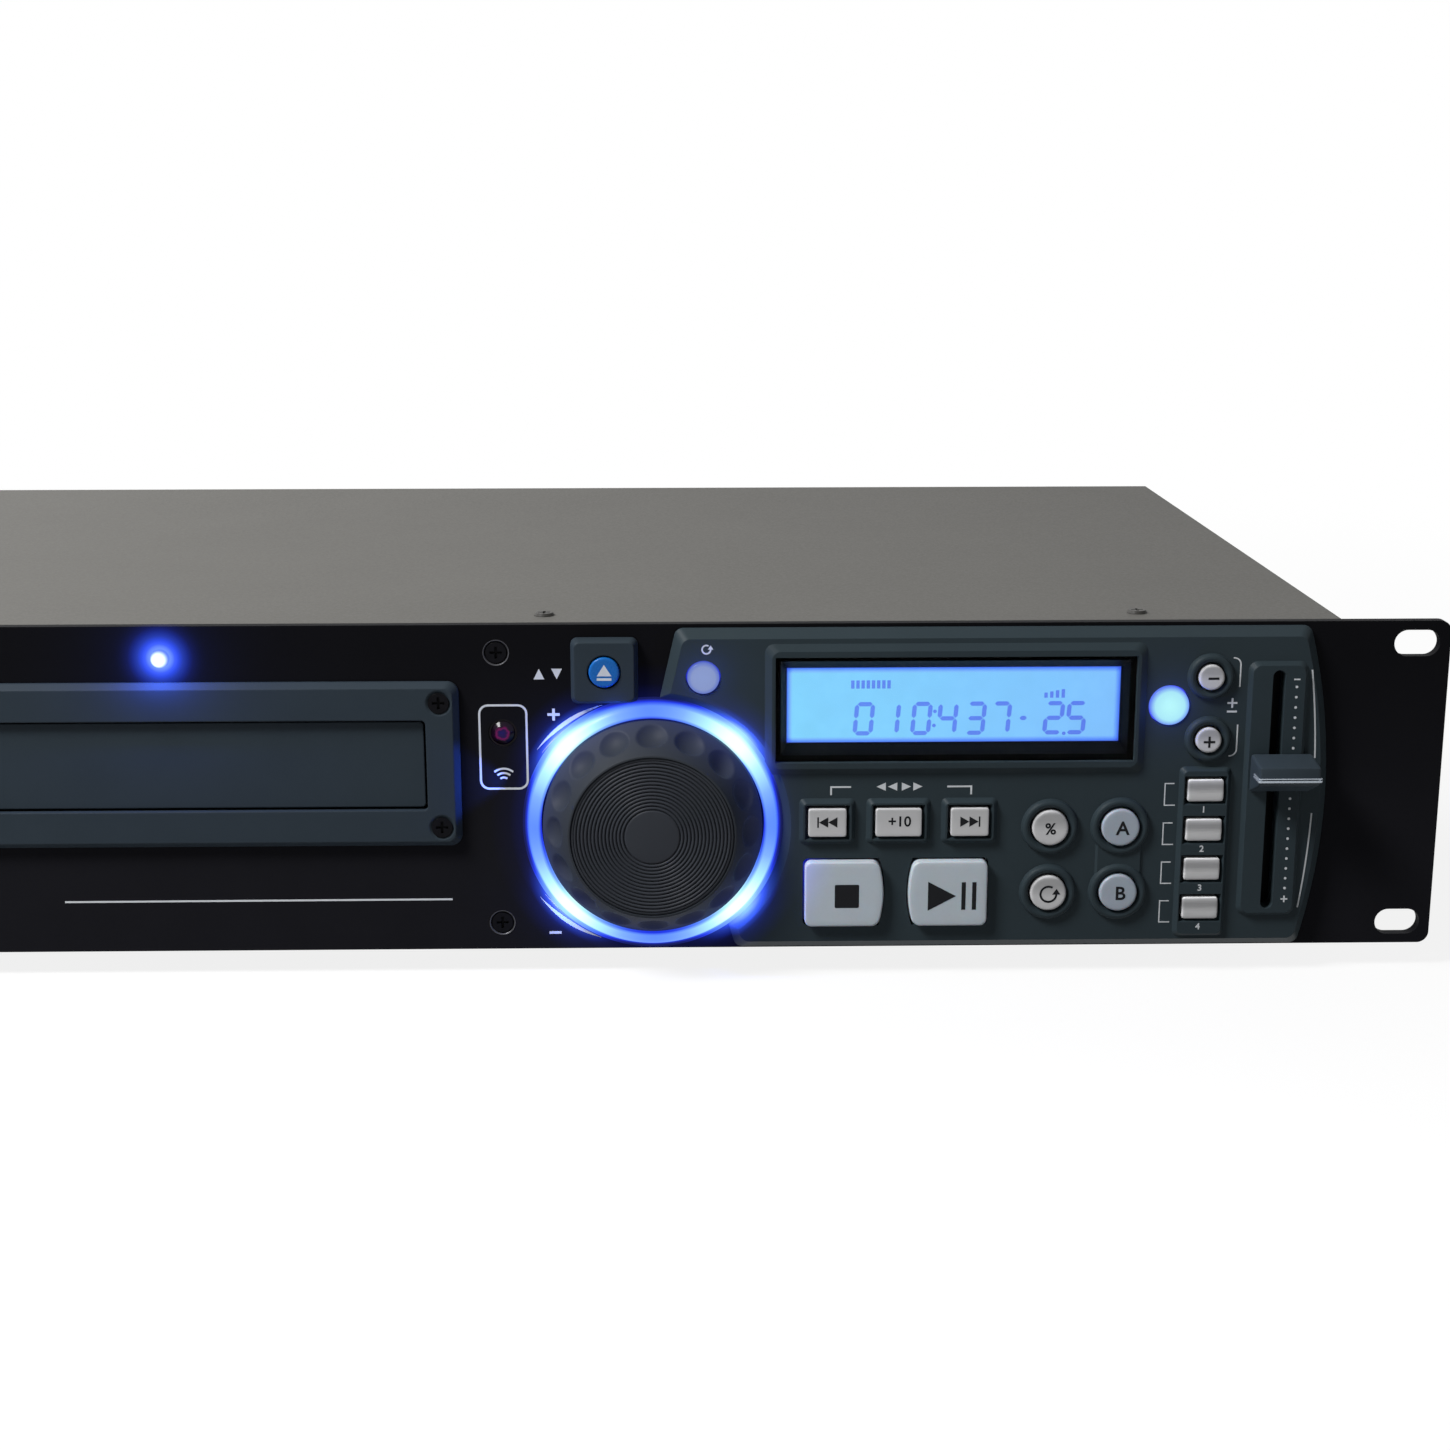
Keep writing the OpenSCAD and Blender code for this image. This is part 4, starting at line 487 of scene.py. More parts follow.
# Colour, roughness, grain, relief, darkest shade, patch and stretch of each surface
FINISHES = {
    # the front panel's fade is painted shade, darker towards its top
    "front_panel": look(
        (24, 24, 28), (0.5, 0.62), 0.35, 0.12, soft=0.2, gloss=0.03, glare=13.5, fade=(-20, 36, 0.42),
    ),
    "cover_grey": look((88, 87, 84), (0.45, 0.58), 0.7, 0.25, 0.93, 40, soft=0.7, gloss=0.03),
    "chassis_steel": look((66, 65, 64), (0.4, 0.55), 0.7, 0.2, 0.9, 30, soft=0.3),
    "rubber_black": look((26, 26, 27), (0.75, 0.9), 0.5, 0.3, gloss=0.25),
    "screw_black": look((20, 20, 23), (0.26, 0.4), 0.25, 0.1, 0.7, 2, soft=0.15, gloss=0.03),
    "bezel_slate": look((43, 52, 59), (0.4, 0.5), 0.28, 0.12, 0.9, soft=0.5, gloss=0.08),
    "control_bezel": look((43, 53, 58), (0.4, 0.5), 0.28, 0.12, 0.9, soft=0.14, gloss=0.08, glare=0.0),
    "cover_screws": look((62, 61, 59), (0.35, 0.5), 0.25, 0.1, 0.7, 2, soft=0.25, gloss=0.1),
    "cup_black": look((72, 72, 76), (0.28, 0.4), 0.25, 0.08, 0.8, 3, Metallic=0.4),
    # a lighter copy of the slate for the fader cap: painted light on it
    "cap_slate_painted_light": look((48, 57, 64), (0.4, 0.5), 0.28, 0.12, 0.9, soft=0.3, gloss=0.1),
    # pale metal on the lip's ridges: a painted highlight along the cap's front and ends
    "lip_painted_highlight": look((176, 185, 195), (0.2, 0.3), 0.28, 0.05, 0.9, Metallic=0.5),
    "black_plastic": look((15, 15, 18), (0.22, 0.34), 0.4, 0.06, gloss=0.08),
    "clear_pane": look((250, 252, 255), (0.02, 0.05), 6, 0.01, 0.99, Transmission_Weight=1.0, IOR=1.1),
    "display_frame": look((7, 7, 9), (0.3, 0.4), 0.4, 0.05, gloss=0.03),
    "jack_metal": look((196, 178, 128), (0.18, 0.3), 0.3, 0.05, 0.85, 3, Metallic=1.0),
    "ribbon_grey": look((188, 191, 194), (0.45, 0.6), 0.6, 0.3, 0.8, 6, (1, 40, 40)),
    "bare_steel": look((172, 174, 176), (0.22, 0.4), 0.25, 0.1, 0.8, 5, (1, 12, 1), Metallic=1.0),
    "alloy": look((150, 153, 156), (0.35, 0.5), 0.6, 0.25, 0.85, 6, Metallic=1.0),
    "gear_white": look((226, 224, 214), (0.35, 0.5), 0.5, 0.08, 0.94, 8),
    "wheel_rubber": look(
        (45, 49, 53), (0.5, 0.64), 0.22, 0.15, 0.9, gloss=0.1,
        spill=(RING_R - RING_W + 1, -11, srgb(26, 36, 90), 0.6),
    ),
    "insert_dark": look((47, 50, 56), (0.42, 0.55), 0.2, 0.1, 0.9, gloss=0.12),
    "rocker_red": look((150, 22, 20), (0.25, 0.36), 0.5, 0.05, 0.85, 6),
    "key_white": frosted((182, 192, 200)),
    "cue_key": frosted((182, 192, 200), (RING_R + 6, 12, srgb(22, 32, 190), 0.8)),
    "loop_in_key": frosted((158, 168, 180)),
    "loop_out_key": frosted((158, 168, 180)),
    "key_blue": look((16, 96, 172), (0.24, 0.34), 0.4, 0.05, 0.9, 3, gloss=0.2),
    "print_white": look((202, 206, 210), (0.5, 0.65), 0.2, 0.1, 0.92, 2),
    "print_black": look((22, 23, 26), (0.45, 0.6), 0.2, 0.1, 0.85, 2, gloss=0.1),
}

# Materials by the name of a CAD node or of a slot
MATERIALS = {
    **{name: finish(name, *row, **more) for name, (row, more) in FINISHES.items()},
    "sensor_red": sensor_finish(),
    "control_board": control_board(),
    "main_board": standing_board("main_board"),
    "power_supply": standing_board("power_supply"),
    **{node: brushed(node, MODE_SHEEN_GREYS) for node in MODE_KEYS},
    **{node: brushed(node, TRACK_SHEEN_GREYS) for node in TRACK_KEYS},
    **{node: brushed(node, ROUND_SHEEN_GREYS) for node in ROUND_KEYS if SLOT_OF[node] == "key_silver"},
    "ring_blue": glowing("ring_blue", stops(
        (0.0, 10, 18, 84), (0.1, 32, 56, 230), (0.3, 90, 136, 250), (0.52, 126, 174, 252),
        (0.8, 180, 242, 252), (1.0, 246, 254, 252),
    ), ring_light, 1.08),
    "led_blue": glowing("led_blue", stops(
        (0.0, 70, 96, 255), (0.5, 196, 216, 255), (1.0, 255, 255, 255),
    ), hot_spots([(LED_X, LED_TIP, LED_Z)], 3.2), 2.0),
    "lcd_blue": glowing("lcd_blue", stops(
        (0.0, 36, 66, 232), (0.3, 86, 140, 250), (0.72, 129, 193, 253), (1.0, 132, 214, 253),
    ), display_light),
    "lcd_segment": glowing("lcd_segment", stops(
        (0.7, 92, 126, 240), (1.0, 100, 144, 246),
    ), display_light, 0.96),
    "key_lit": glowing("key_lit", stops(
        (0.0, 70, 80, 245), (0.14, 140, 190, 250), (0.3, 172, 236, 251), (1.0, 186, 252, 251),
    ), key_glow("lit_pitch_key", 6.0), 0.95),
    "key_pale": glowing("key_pale", stops(
        (0.0, 44, 56, 214), (0.16, 112, 134, 220), (0.4, 148, 166, 217), (1.0, 150, 169, 218),
    ), key_glow("jog_mode_key", 5.4), 0.8),
}


# Mesh helpers

def piece(name, bm, material, body, stands_for=(), sharp=35):
    """Turns a bmesh in millimetres into an object of the part."""
    bmesh.ops.recalc_face_normals(bm, faces=bm.faces)
    bmesh.ops.scale(bm, vec=(MM, MM, MM), verts=bm.verts)
    mesh = bpy.data.meshes.new(name)
    bm.to_mesh(mesh)
    bm.free()
    mesh.shade_smooth()
    mesh.set_sharp_from_angle(angle=math.radians(sharp))
    mesh.materials.append(MATERIALS[material])
    obj = bpy.data.objects.new(name, mesh)
    bpy.context.scene.collection.objects.link(obj)
    if stands_for:
        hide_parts(*stands_for)
    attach(obj, body)
    return obj


def skin(bm, rings, closed=False):
    """Joins closed rings of equally many points; the run's ends meet each other or get a face each."""
    rows = [[bm.verts.new(point) for point in ring] for ring in rings]
    pairs = list(zip(rows, rows[1:]))
    if closed:
        pairs.append((rows[-1], rows[0]))
    for a, b in pairs:
        for i in range(len(a)):
            j = (i + 1) % len(a)
            bm.faces.new((a[i], a[j], b[j], b[i]))
    if not closed:
        bm.faces.new(rows[0])
        bm.faces.new(rows[-1][::-1])


def turned(bm, profile, centre, count=96, closed=False):
    """Turns a profile of (radius, y) about an axis along Y through a centre (x, z)."""
    angles = [2 * math.pi * i / count for i in range(count)]
    skin(bm, [
        [(centre[0] + r * math.cos(a), y, centre[1] + r * math.sin(a)) for a in angles] for r, y in profile
    ], closed)


def prism(bm, outline, front, depth=INK):
    """A flat mark: an outline of (x, z) points standing on a face at y = front."""
    skin(bm, [[(x, y, z) for x, z in outline] for y in (front - depth, front + depth)])


def arc(cx, cz, radius, start, end, count=16):
    """Points along an arc, in degrees from +X towards +Z."""
    steps = [math.radians(start + (end - start) * i / count) for i in range(count + 1)]
    return [(cx + radius * math.cos(a), cz + radius * math.sin(a)) for a in steps]


def disc(cx, cz, radius, count=32):
    return arc(cx, cz, radius, 0, 360, count)[:-1]


def rounded(w, h, r, cx=0.0, cz=0.0, steps=5, edge_steps=1):
    """A rectangle with round corners, with points along its straight edges too."""
    corners = []
    for sx, sz, start in ((1, 1, 0), (-1, 1, 90), (-1, -1, 180), (1, -1, 270)):
        corners.append(arc(cx + sx * (w / 2 - r), cz + sz * (h / 2 - r), r, start, start + 90, steps))
    points = []
    for here, after in zip(corners, corners[1:] + corners[:1]):
        points += here
        (x0, z0), (x1, z1) = here[-1], after[0]
        points += [
            (x0 + (x1 - x0) * i / edge_steps, z0 + (z1 - z0) * i / edge_steps) for i in range(1, edge_steps)
        ]
    return points


def band(bm, points, width, front):
    """A printed line of one width, or of a width for each point, along open points."""
    widths = width if isinstance(width, (list, tuple)) else [width] * len(points)
    places = [Vector(point) for point in points]
    left, right = [], []
    for i, place in enumerate(places):
        before = (place - places[max(i - 1, 0)]).normalized()
        after = (places[min(i + 1, len(places) - 1)] - place).normalized()
        along = (before + after).normalized()
        mitre = 1 / max(along.dot(before), along.dot(after), SHARPEST)
        across = Vector((-along.y, along.x)) * widths[i] / 2 * mitre
        left.append(place + across)
        right.append(place - across)
    prism(bm, left + right[::-1], front)


def frame_line(bm, outer, inner, front):
    """A closed printed line between two outlines of equally many points."""
    rings = [
        [(x, y, z) for x, z in outline]
        for outline, y in ((outer, front - INK), (inner, front - INK), (inner, front), (outer, front))
    ]
    skin(bm, rings, closed=True)


def figures(bm, words, x, z, height, front):
    """Plain figures and signs, centred on (x, z)."""
    curve = bpy.data.curves.new("figures", "FONT")
    curve.body = words
    curve.size = height / 0.7
    curve.align_x = "CENTER"
    curve.align_y = "CENTER"
    curve.extrude = INK
    curve.offset = height * 0.028
    curve.resolution_u = 4
    holder = bpy.data.objects.new("figures", curve)
    bpy.context.scene.collection.objects.link(holder)
    bpy.context.view_layer.update()
    mesh = bpy.data.meshes.new_from_object(holder.evaluated_get(bpy.context.evaluated_depsgraph_get()))
    mesh.transform(Matrix.Translation((x, front, z)) @ Matrix.Rotation(math.pi / 2, 4, "X"))
    bm.from_mesh(mesh)
    bmesh.ops.remove_doubles(bm, verts=bm.verts, dist=1e-4)
    bpy.data.objects.remove(holder)
    bpy.data.curves.remove(curve)
    bpy.data.meshes.remove(mesh)


def triangle(cx, cz, w, h, direction):
    """A triangle that points right (1) or left (-1)."""
    tip = direction * w / 2
    return [(cx - tip, cz - h / 2), (cx + tip, cz), (cx - tip, cz + h / 2)]


def bar(cx, cz, w, h):
    return [(cx + sx * w / 2, cz + sz * h / 2) for sx, sz in ((-1, -1), (1, -1), (1, 1), (-1, 1))]


def plus(bm, cx, cz, size, width, front):
    arm, half = size / 2, width / 2
    quarter, points = [(half, -arm), (half, -half), (arm, -half)], []
    for _ in range(4):
        points += [(cx + x, cz + z) for x, z in quarter]
        quarter = [(-z, x) for x, z in quarter]
    prism(bm, points, front)


# Camera at the photograph's place

CAMERA_PLACE = (41.6155, -571.8128, 157.2655)
CAMERA_YAW = 0.0187
CAMERA_PITCH = 0.24163
CAMERA_ROLL = -0.0009
FOCAL_PIXELS = 2244.2
SHIFT_PIXELS = 0.3
PHOTO_PIXELS = 1450
SENSOR = 36.0


def add_camera():
    forward = Vector((
        math.sin(CAMERA_YAW) * math.cos(CAMERA_PITCH),
        math.cos(CAMERA_YAW) * math.cos(CAMERA_PITCH),
        -math.sin(CAMERA_PITCH),
    ))
    level = Vector((math.cos(CAMERA_YAW), -math.sin(CAMERA_YAW), 0))
    upright = level.cross(forward)
    right = math.cos(CAMERA_ROLL) * level + math.sin(CAMERA_ROLL) * upright
    up = math.cos(CAMERA_ROLL) * upright - math.sin(CAMERA_ROLL) * level
    data = bpy.data.cameras.new("camera")
    data.sensor_width = SENSOR
    data.lens = SENSOR * FOCAL_PIXELS / PHOTO_PIXELS
    data.shift_y = SHIFT_PIXELS / PHOTO_PIXELS
    data.clip_start = 0.01
    camera = bpy.data.objects.new("camera", data)
    turn = Matrix((right, up, -forward)).transposed().to_4x4()
    camera.matrix_world = Matrix.Translation(Vector(CAMERA_PLACE) * MM) @ turn
    bpy.context.scene.collection.objects.link(camera)
    bpy.context.scene.camera = camera


# Light, floor and surroundings

WHITE = (1, 1, 1, 1)
# Light of the surroundings on the part; what is seen of them is white
WORLD_DIM = 0.1


def seen_directly(g):
    """1 for rays from the camera, reflections and see-through surfaces."""
    path = g.add("ShaderNodeLightPath").outputs
    seen = g.math("MAXIMUM", path["Is Camera Ray"], path["Is Glossy Ray"])
    return g.math("MAXIMUM", seen, path["Is Transmission Ray"])


def add_world():
    world = bpy.data.worlds.new("studio")
    g = Tree(world)
    g.tree.nodes.clear()
    dim = g.add("ShaderNodeBackground", {"Color": WHITE, "Strength": WORLD_DIM})
    white = g.add("ShaderNodeBackground", {"Color": WHITE, "Strength": 1.0})
    mix = g.add("ShaderNodeMixShader", {"Fac": seen_directly(g), 1: dim.outputs[0], 2: white.outputs[0]})
    g.add("ShaderNodeOutputWorld", {"Surface": mix.outputs[0]})
    bpy.context.scene.world = world


# Share of the light that the floor throws back at the part, and of its own white round the part's foot
FLOOR_BOUNCE = 0.25
FLOOR_FOOT = 0.84
FLOOR_FADE = 900
FLOOR_REACH = 30.0


def add_floor():
    """A white floor that keeps the part's shadow."""
    level = cad_box[0].z
    reach = FLOOR_REACH
    mesh = bpy.data.meshes.new("floor")
    mesh.from_pydata(
        [(-reach, -reach, level), (reach, -reach, level), (reach, reach, level), (-reach, reach, level)],
        [], [(0, 1, 2, 3)],
    )
    g = Graph("floor_white")
    g.tree.nodes.remove(g.shader)
    seen = seen_directly(g)
    matt = g.add("ShaderNodeBsdfDiffuse", {"Color": g.span(seen, FLOOR_BOUNCE, 0.9, 0.0, 1.0)})
    light = g.add("ShaderNodeEmission", {"Color": WHITE, "Strength": 1.0})
    ground = (0, (cad_box[0].y + cad_box[1].y) / 2 / MM, level / MM)
    fade = g.span(near(g, ground, FLOOR_FADE), 1.0, FLOOR_FOOT, 0.0, 1.0)
    share = g.math("MULTIPLY", seen, fade)
    mix = g.add("ShaderNodeMixShader", {"Fac": share, 1: matt.outputs[0], 2: light.outputs[0]})
    g.put(g.tree.nodes["Material Output"].inputs["Surface"], mix.outputs[0])
    mesh.materials.append(g.material)
    floor = bpy.data.objects.new("floor", mesh)
    bpy.context.scene.collection.objects.link(floor)


def add_lamp(name, kind, place, power, colour=(1, 1, 1), target=None, **settings):
    data = bpy.data.lights.new(name, kind)
    data.energy = power
    data.color = colour
    for key, value in settings.items():
        setattr(data, key, value)
    lamp = bpy.data.objects.new(name, data)
    lamp.location = place
    if target is not None:
        lamp.rotation_euler = (Vector(target) - Vector(place)).to_track_quat("-Z", "Y").to_euler()
    lamp.visible_camera = False
    lamp.visible_glossy = kind == "AREA"
    bpy.context.scene.collection.objects.link(lamp)


# The soft lamps: place, power in watts, target and size, in metres
SOFT_LAMPS = {
    "top_softbox": ((-0.7, 0.45, 0.55), 6.0, (-0.1, 0.15, 0.04), 0.4),
    "front_softbox": ((-0.66, -0.42, 0.92), 22.0, (-0.03, 0, 0), 0.35),
}

# The part's own blue light, with its powers in watts
GLOW_BLUE = (0.05, 0.14, 1.0)
GLOW_SIZE = 0.001
LED_GLOW = 0.055
RING_GLOW = 0.01
RING_TOP_ANGLE, RING_TOP_GLOW = 108, 0.004
BEZEL_GLOW = 0.045
BEZEL_GLOW_UP = 12.0
KEY_GLOW = 0.003


def add_lights():
    """Two soft lamps from the left, and the blue light that the lamps of the part throw about them."""
    for name, (place, power, target, size) in SOFT_LAMPS.items():
        add_lamp(name, "AREA", place, power, target=target, size=size)
    add_glow("led_glow", (LED_X, LED_TIP - 3, LED_Z), LED_GLOW)
    for i, angle in enumerate(HOT_ANGLES):
        add_ring_glow(f"ring_glow_{i}", angle, RING_GLOW)
    add_bezel_glow(BEZEL_GLOW)
    add_ring_glow("ring_top_glow", RING_TOP_ANGLE, RING_TOP_GLOW)
    for node in ("lit_pitch_key", "jog_mode_key"):
        x, z = middle(node)
        add_glow(f"{node}_glow", (x, CONTROL_FACE - 4, z), KEY_GLOW)


def add_ring_glow(name, angle, power):
    """Blue light from a place on the ring, thrown outwards over the panel and the bezels."""
    across, up = math.cos(math.radians(angle)), math.sin(math.radians(angle))
    near_r, far_r = RING_R - 1.5, RING_R + 12
    place = Vector((JOG_X + near_r * across, RING_LOW.y - 0.5, JOG_Z + near_r * up)) * MM
    target = Vector((JOG_X + far_r * across, PANEL_FACE - 1, JOG_Z + far_r * up)) * MM
    add_lamp(
        name, "SPOT", place, power, GLOW_BLUE, target=target,
        spot_size=math.radians(165), spot_blend=0.6, shadow_soft_size=GLOW_SIZE,
    )


def add_bezel_glow(power):
    """Blue light from the ring's left side on the near end of the tray bezel, kept off the panel between."""
    place = Vector((JOG_X - RING_R - 1, PANEL_FACE - 4, JOG_Z + BEZEL_GLOW_UP)) * MM
    target = Vector((box_mm("tray_bezel")[1].x, PANEL_FACE - 2.5, JOG_Z + BEZEL_GLOW_UP)) * MM
    add_lamp(
        "bezel_glow", "SPOT", place, power, GLOW_BLUE, target=target,
        spot_size=math.radians(70), spot_blend=0.5, shadow_soft_size=GLOW_SIZE,
    )


def add_glow(name, place, power):
    add_lamp(name, "POINT", Vector(place) * MM, power, GLOW_BLUE, shadow_soft_size=GLOW_SIZE)


# Finishes of the CAD pieces

def dress_cad():
    for name, obj in frame["nodes"].items():
        obj.data.materials.clear()
        obj.data.materials.append(MATERIALS.get(name) or MATERIALS[SLOT_OF[name]])


# Keys

LIP_DEPTH = 1.0
STEM_R = 1.5
KEY_BACK = PANEL_FACE + 0.1


def key(node, outline, edge=0.5, crown=0.0, material=None):
    """A key: a cap with round edges, the lip behind the bezel and the stem to its switch."""
    low, high = box_mm(node)
    x, z = middle(node)
    half_w = max(px for px, _ in outline)
    half_h = max(pz for _, pz in outline)

    def ring(inset, y, scale=1.0, curved=True):
        points = []
        for px, pz in outline:
            across = px * (1 - inset / half_w) * scale
            up = pz * (1 - inset / half_h) * scale
            drop = crown * (up / half_h) ** 2 if curved else 0
            points.append((x + across, y + drop, z + up))
        return points

    bm = bmesh.new()
    rings = [ring(0, KEY_BACK, curved=False), ring(0, low.y + edge)]
    for turn in (22.5, 45, 67.5, 90):
        angle = math.radians(turn)
        rings.append(ring(edge * (1 - math.cos(angle)), low.y + edge * (1 - math.sin(angle))))
    rings += [ring(edge, low.y, scale) for scale in (0.85, 0.6, 0.3, 0.03)]
    skin(bm, rings)
    skin(bm, [ring(-KEY_LIP, y, curved=False) for y in (KEY_BACK, KEY_BACK + LIP_DEPTH)])
    turned(bm, [(STEM_R, KEY_BACK + LIP_DEPTH), (STEM_R, high.y)], (x, z), 24)
    slot = SLOT_OF[node]
    finish_name = material or (node if node in MATERIALS else slot)
    piece(node.replace("_key", "_cap"), bm, finish_name, BODY_OF[node], [node])


def cap_size(node):
    low, high = box_mm(node)
    return high.x - low.x - 2 * KEY_LIP, high.z - low.z - 2 * KEY_LIP


LARGE_BULGE = 1.4
LARGE_CORNER = 1.8


def large_outline(node, side, count=28):
    """A large key's outline with round corners, and with its right (1) or left (-1) side bowed out."""
    w, h = cap_size(node)
    radius = ((h / 2) ** 2 + LARGE_BULGE ** 2) / (2 * LARGE_BULGE)

    def edge(z, bowed):
        past = max(abs(z) - (h / 2 - LARGE_CORNER), 0) / LARGE_CORNER
        corner = LARGE_CORNER * (1 - math.sqrt(max(1 - past ** 2, 0)))
        bow = radius - math.sqrt(radius ** 2 - z ** 2) if bowed else 0
        return w / 2 - bow - corner

    heights = [h / 2 * math.sin(math.pi * (i / count - 0.5)) for i in range(count + 1)]
    right = [(edge(z, side > 0), z) for z in heights]
    left = [(-edge(z, side < 0), z) for z in reversed(heights)]
    return right + left


def add_keys():
    for node in ROUND_KEYS:
        outline = disc(0, 0, cap_size(node)[0] / 2, 48)
        key(node, outline, 0.55, material="key_pale" if node == "jog_mode_key" else None)
    for node in TRACK_KEYS:
        key(node, rounded(*cap_size(node), 0.7, edge_steps=6), 0.3)
    for node in MODE_KEYS:
        key(node, rounded(*cap_size(node), 0.7, edge_steps=8), 0.35, crown=0.5)
    key("cue_key", large_outline("cue_key", 1), 0.5)
    key("play_key", large_outline("play_key", -1), 0.5)


def marks(node, draw, material="print_black"):
    """A printed mark on a key's face; draw gets the mesh, the key's centre and its face."""
    bm = bmesh.new()
    x, z = middle(node)
    draw(bm, x, z, box_mm(node)[0].y)
    piece(node.replace("_key", "_mark"), bm, material, BODY_OF[node])


def draw_eject(bm, x, z, y):
    prism(bm, [(x - 1.9, z - 0.9), (x + 1.9, z - 0.9), (x, z + 2.1)], y)
    prism(bm, bar(x, z - 1.75, 3.8, 0.65), y)


def draw_skip(bm, x, z, y, direction):
    for shift in (-1.35, 1.05):
        prism(bm, triangle(x + direction * shift, z + 0.2, 2.4, 2.8, direction), y)
    prism(bm, bar(x + direction * 2.5, z + 0.2, 0.4, 2.8), y)


def draw_play(bm, x, z, y):
    prism(bm, triangle(x - 1.6, z - 0.6, 7.4, 8.0, 1), y)
    for shift in (4.1, 6.9):
        prism(bm, bar(x + shift, z - 0.6, 1.1, 7.6), y)


def draw_stop(bm, x, z, y):
    prism(bm, rounded(6.4, 6.4, 0.4, x + 0.7, z - 0.5), y)


def draw_loop(bm, x, z, y):
    """An open loop with an arrow head."""
    band(bm, arc(x, z - 0.2, 2.1, 60, 360, 28), 0.55, y)
    prism(bm, [(x + 1.0, z - 0.3), (x + 3.2, z - 0.3), (x + 2.1, z + 1.3)], y)


def add_key_marks():
    marks("eject_key", draw_eject, "print_white")
    marks("track_back_key", lambda *at: draw_skip(*at, -1))
    marks("track_next_key", lambda *at: draw_skip(*at, 1))
    marks("plus_ten_key", lambda bm, x, z, y: figures(bm, "+10", x + 0.2, z + 0.2, 2.7, y))
    marks("play_key", draw_play)
    marks("cue_key", draw_stop)
    marks("reloop_key", draw_loop)
    marks("pitch_key", lambda bm, x, z, y: figures(bm, "%", x, z - 0.3, 3.0, y))
    marks("loop_in_key", lambda bm, x, z, y: figures(bm, "A", x + 0.5, z - 0.3, 3.6, y))
    marks("loop_out_key", lambda bm, x, z, y: figures(bm, "B", x + 0.5, z - 0.3, 3.6, y))
    marks("bend_down_key", lambda bm, x, z, y: prism(bm, bar(x + 0.4, z - 0.2, 2.8, 0.6), y))
    marks("bend_up_key", lambda bm, x, z, y: plus(bm, x + 0.1, z - 0.4, 3.0, 0.6, y))


# Jog wheel, its insert and its light ring

# Radius that stands in for zero at the middle of a turned face
CORE = 0.02
DIMPLE_COUNT = 16
DIMPLE_R = 4.1
DIMPLE_DEPTH = 1.7
# Place of the dimples on the slope, from its foot
DIMPLE_PLACE = 0.46
WHEEL_PROUD = 13.5
WHEEL_TOP_R = 22.0
POCKET_R, POCKET_DEPTH = 21.3, 1.6
SHAFT_R = 3.0
PLAIN_R = 7.3


def add_jog_wheel():
    """The wheel's slanted side carries a ring of finger dimples."""
    base_r, top_r = RING_R - 4.3, WHEEL_TOP_R
    base_h, lip_h = 0.5, 3.5
    floor_h = WHEEL_PROUD - POCKET_DEPTH
    run_r, run_h = top_r - base_r, WHEEL_PROUD - lip_h
    slope = math.hypot(run_r, run_h)
    normal = (run_h / slope, -run_r / slope)
    ball_r = (DIMPLE_R ** 2 + DIMPLE_DEPTH ** 2) / (2 * DIMPLE_DEPTH)
    slope_steps = 38
    profile = [(CORE, base_h), (base_r - 0.4, base_h), (base_r, base_h + 0.4), (base_r, lip_h - 0.3)]
    slanted = range(len(profile), len(profile) + slope_steps + 1)
    profile += [
        (base_r + run_r * i / slope_steps, lip_h + (run_h - 0.35) * i / slope_steps)
        for i in range(slope_steps + 1)
    ]
    profile += [
        (top_r - 0.12, WHEEL_PROUD - 0.1), (top_r - 0.35, WHEEL_PROUD), (POCKET_R, WHEEL_PROUD),
        (POCKET_R, floor_h), (CORE, floor_h),
    ]
    count = DIMPLE_COUNT * 28
    rings = []
    for row, (r, h) in enumerate(profile):
        ring = []
        for i in range(count):
            turn = 2 * math.pi * i / count
            rr, hh = r, h
            if row in slanted:
                along = ((row - slanted[0]) / slope_steps - DIMPLE_PLACE) * slope
                place = (i / count * DIMPLE_COUNT + 0.5) % 1 - 0.5
                across = place * 2 * math.pi * r / DIMPLE_COUNT
                away = math.hypot(along, across)
                if away < DIMPLE_R:
                    sink = math.sqrt(ball_r ** 2 - away ** 2) - (ball_r - DIMPLE_DEPTH)
                    rr -= sink * normal[0]
                    hh -= sink * normal[1]
            ring.append((JOG_X + rr * math.cos(turn), PANEL_FACE - hh, JOG_Z + rr * math.sin(turn)))
        rings.append(ring)
    bm = bmesh.new()
    skin(bm, rings)
    shaft = [(SHAFT_R, PANEL_FACE - base_h), (SHAFT_R, box_mm("jog_wheel")[1].y)]
    turned(bm, shaft, (JOG_X, JOG_Z), 32)
    piece("jog_wheel_grip", bm, "wheel_rubber", "jog", ["jog_wheel"], 50)


def add_jog_insert():
    """A disc with rounded concentric ridges about a plain centre."""
    low, high = box_mm("jog_insert")
    outer = (high.x - low.x) / 2
    ridge_count, groove = 14, 0.5
    first, last = PLAIN_R, outer - 0.7
    pitch = (last - first) / ridge_count
    steps = 8
    profile = [(CORE, high.y), (outer, high.y), (outer, low.y + 0.25), (outer - 0.25, low.y), (last, low.y)]
    for i in range(ridge_count - 1, -1, -1):
        for k in range(steps, 0, -1):
            swing = math.sin(math.pi * k / steps)
            profile.append((first + (i + k / steps) * pitch, low.y + groove * (1 - swing ** 0.6)))
    profile += [(first, low.y + groove), (first - 0.25, low.y + 0.05), (first - 0.6, low.y), (CORE, low.y)]
    bm = bmesh.new()
    turned(bm, profile, (JOG_X, JOG_Z), 160)
    piece("jog_insert_disc", bm, "insert_dark", "jog", ["jog_insert"], 60)


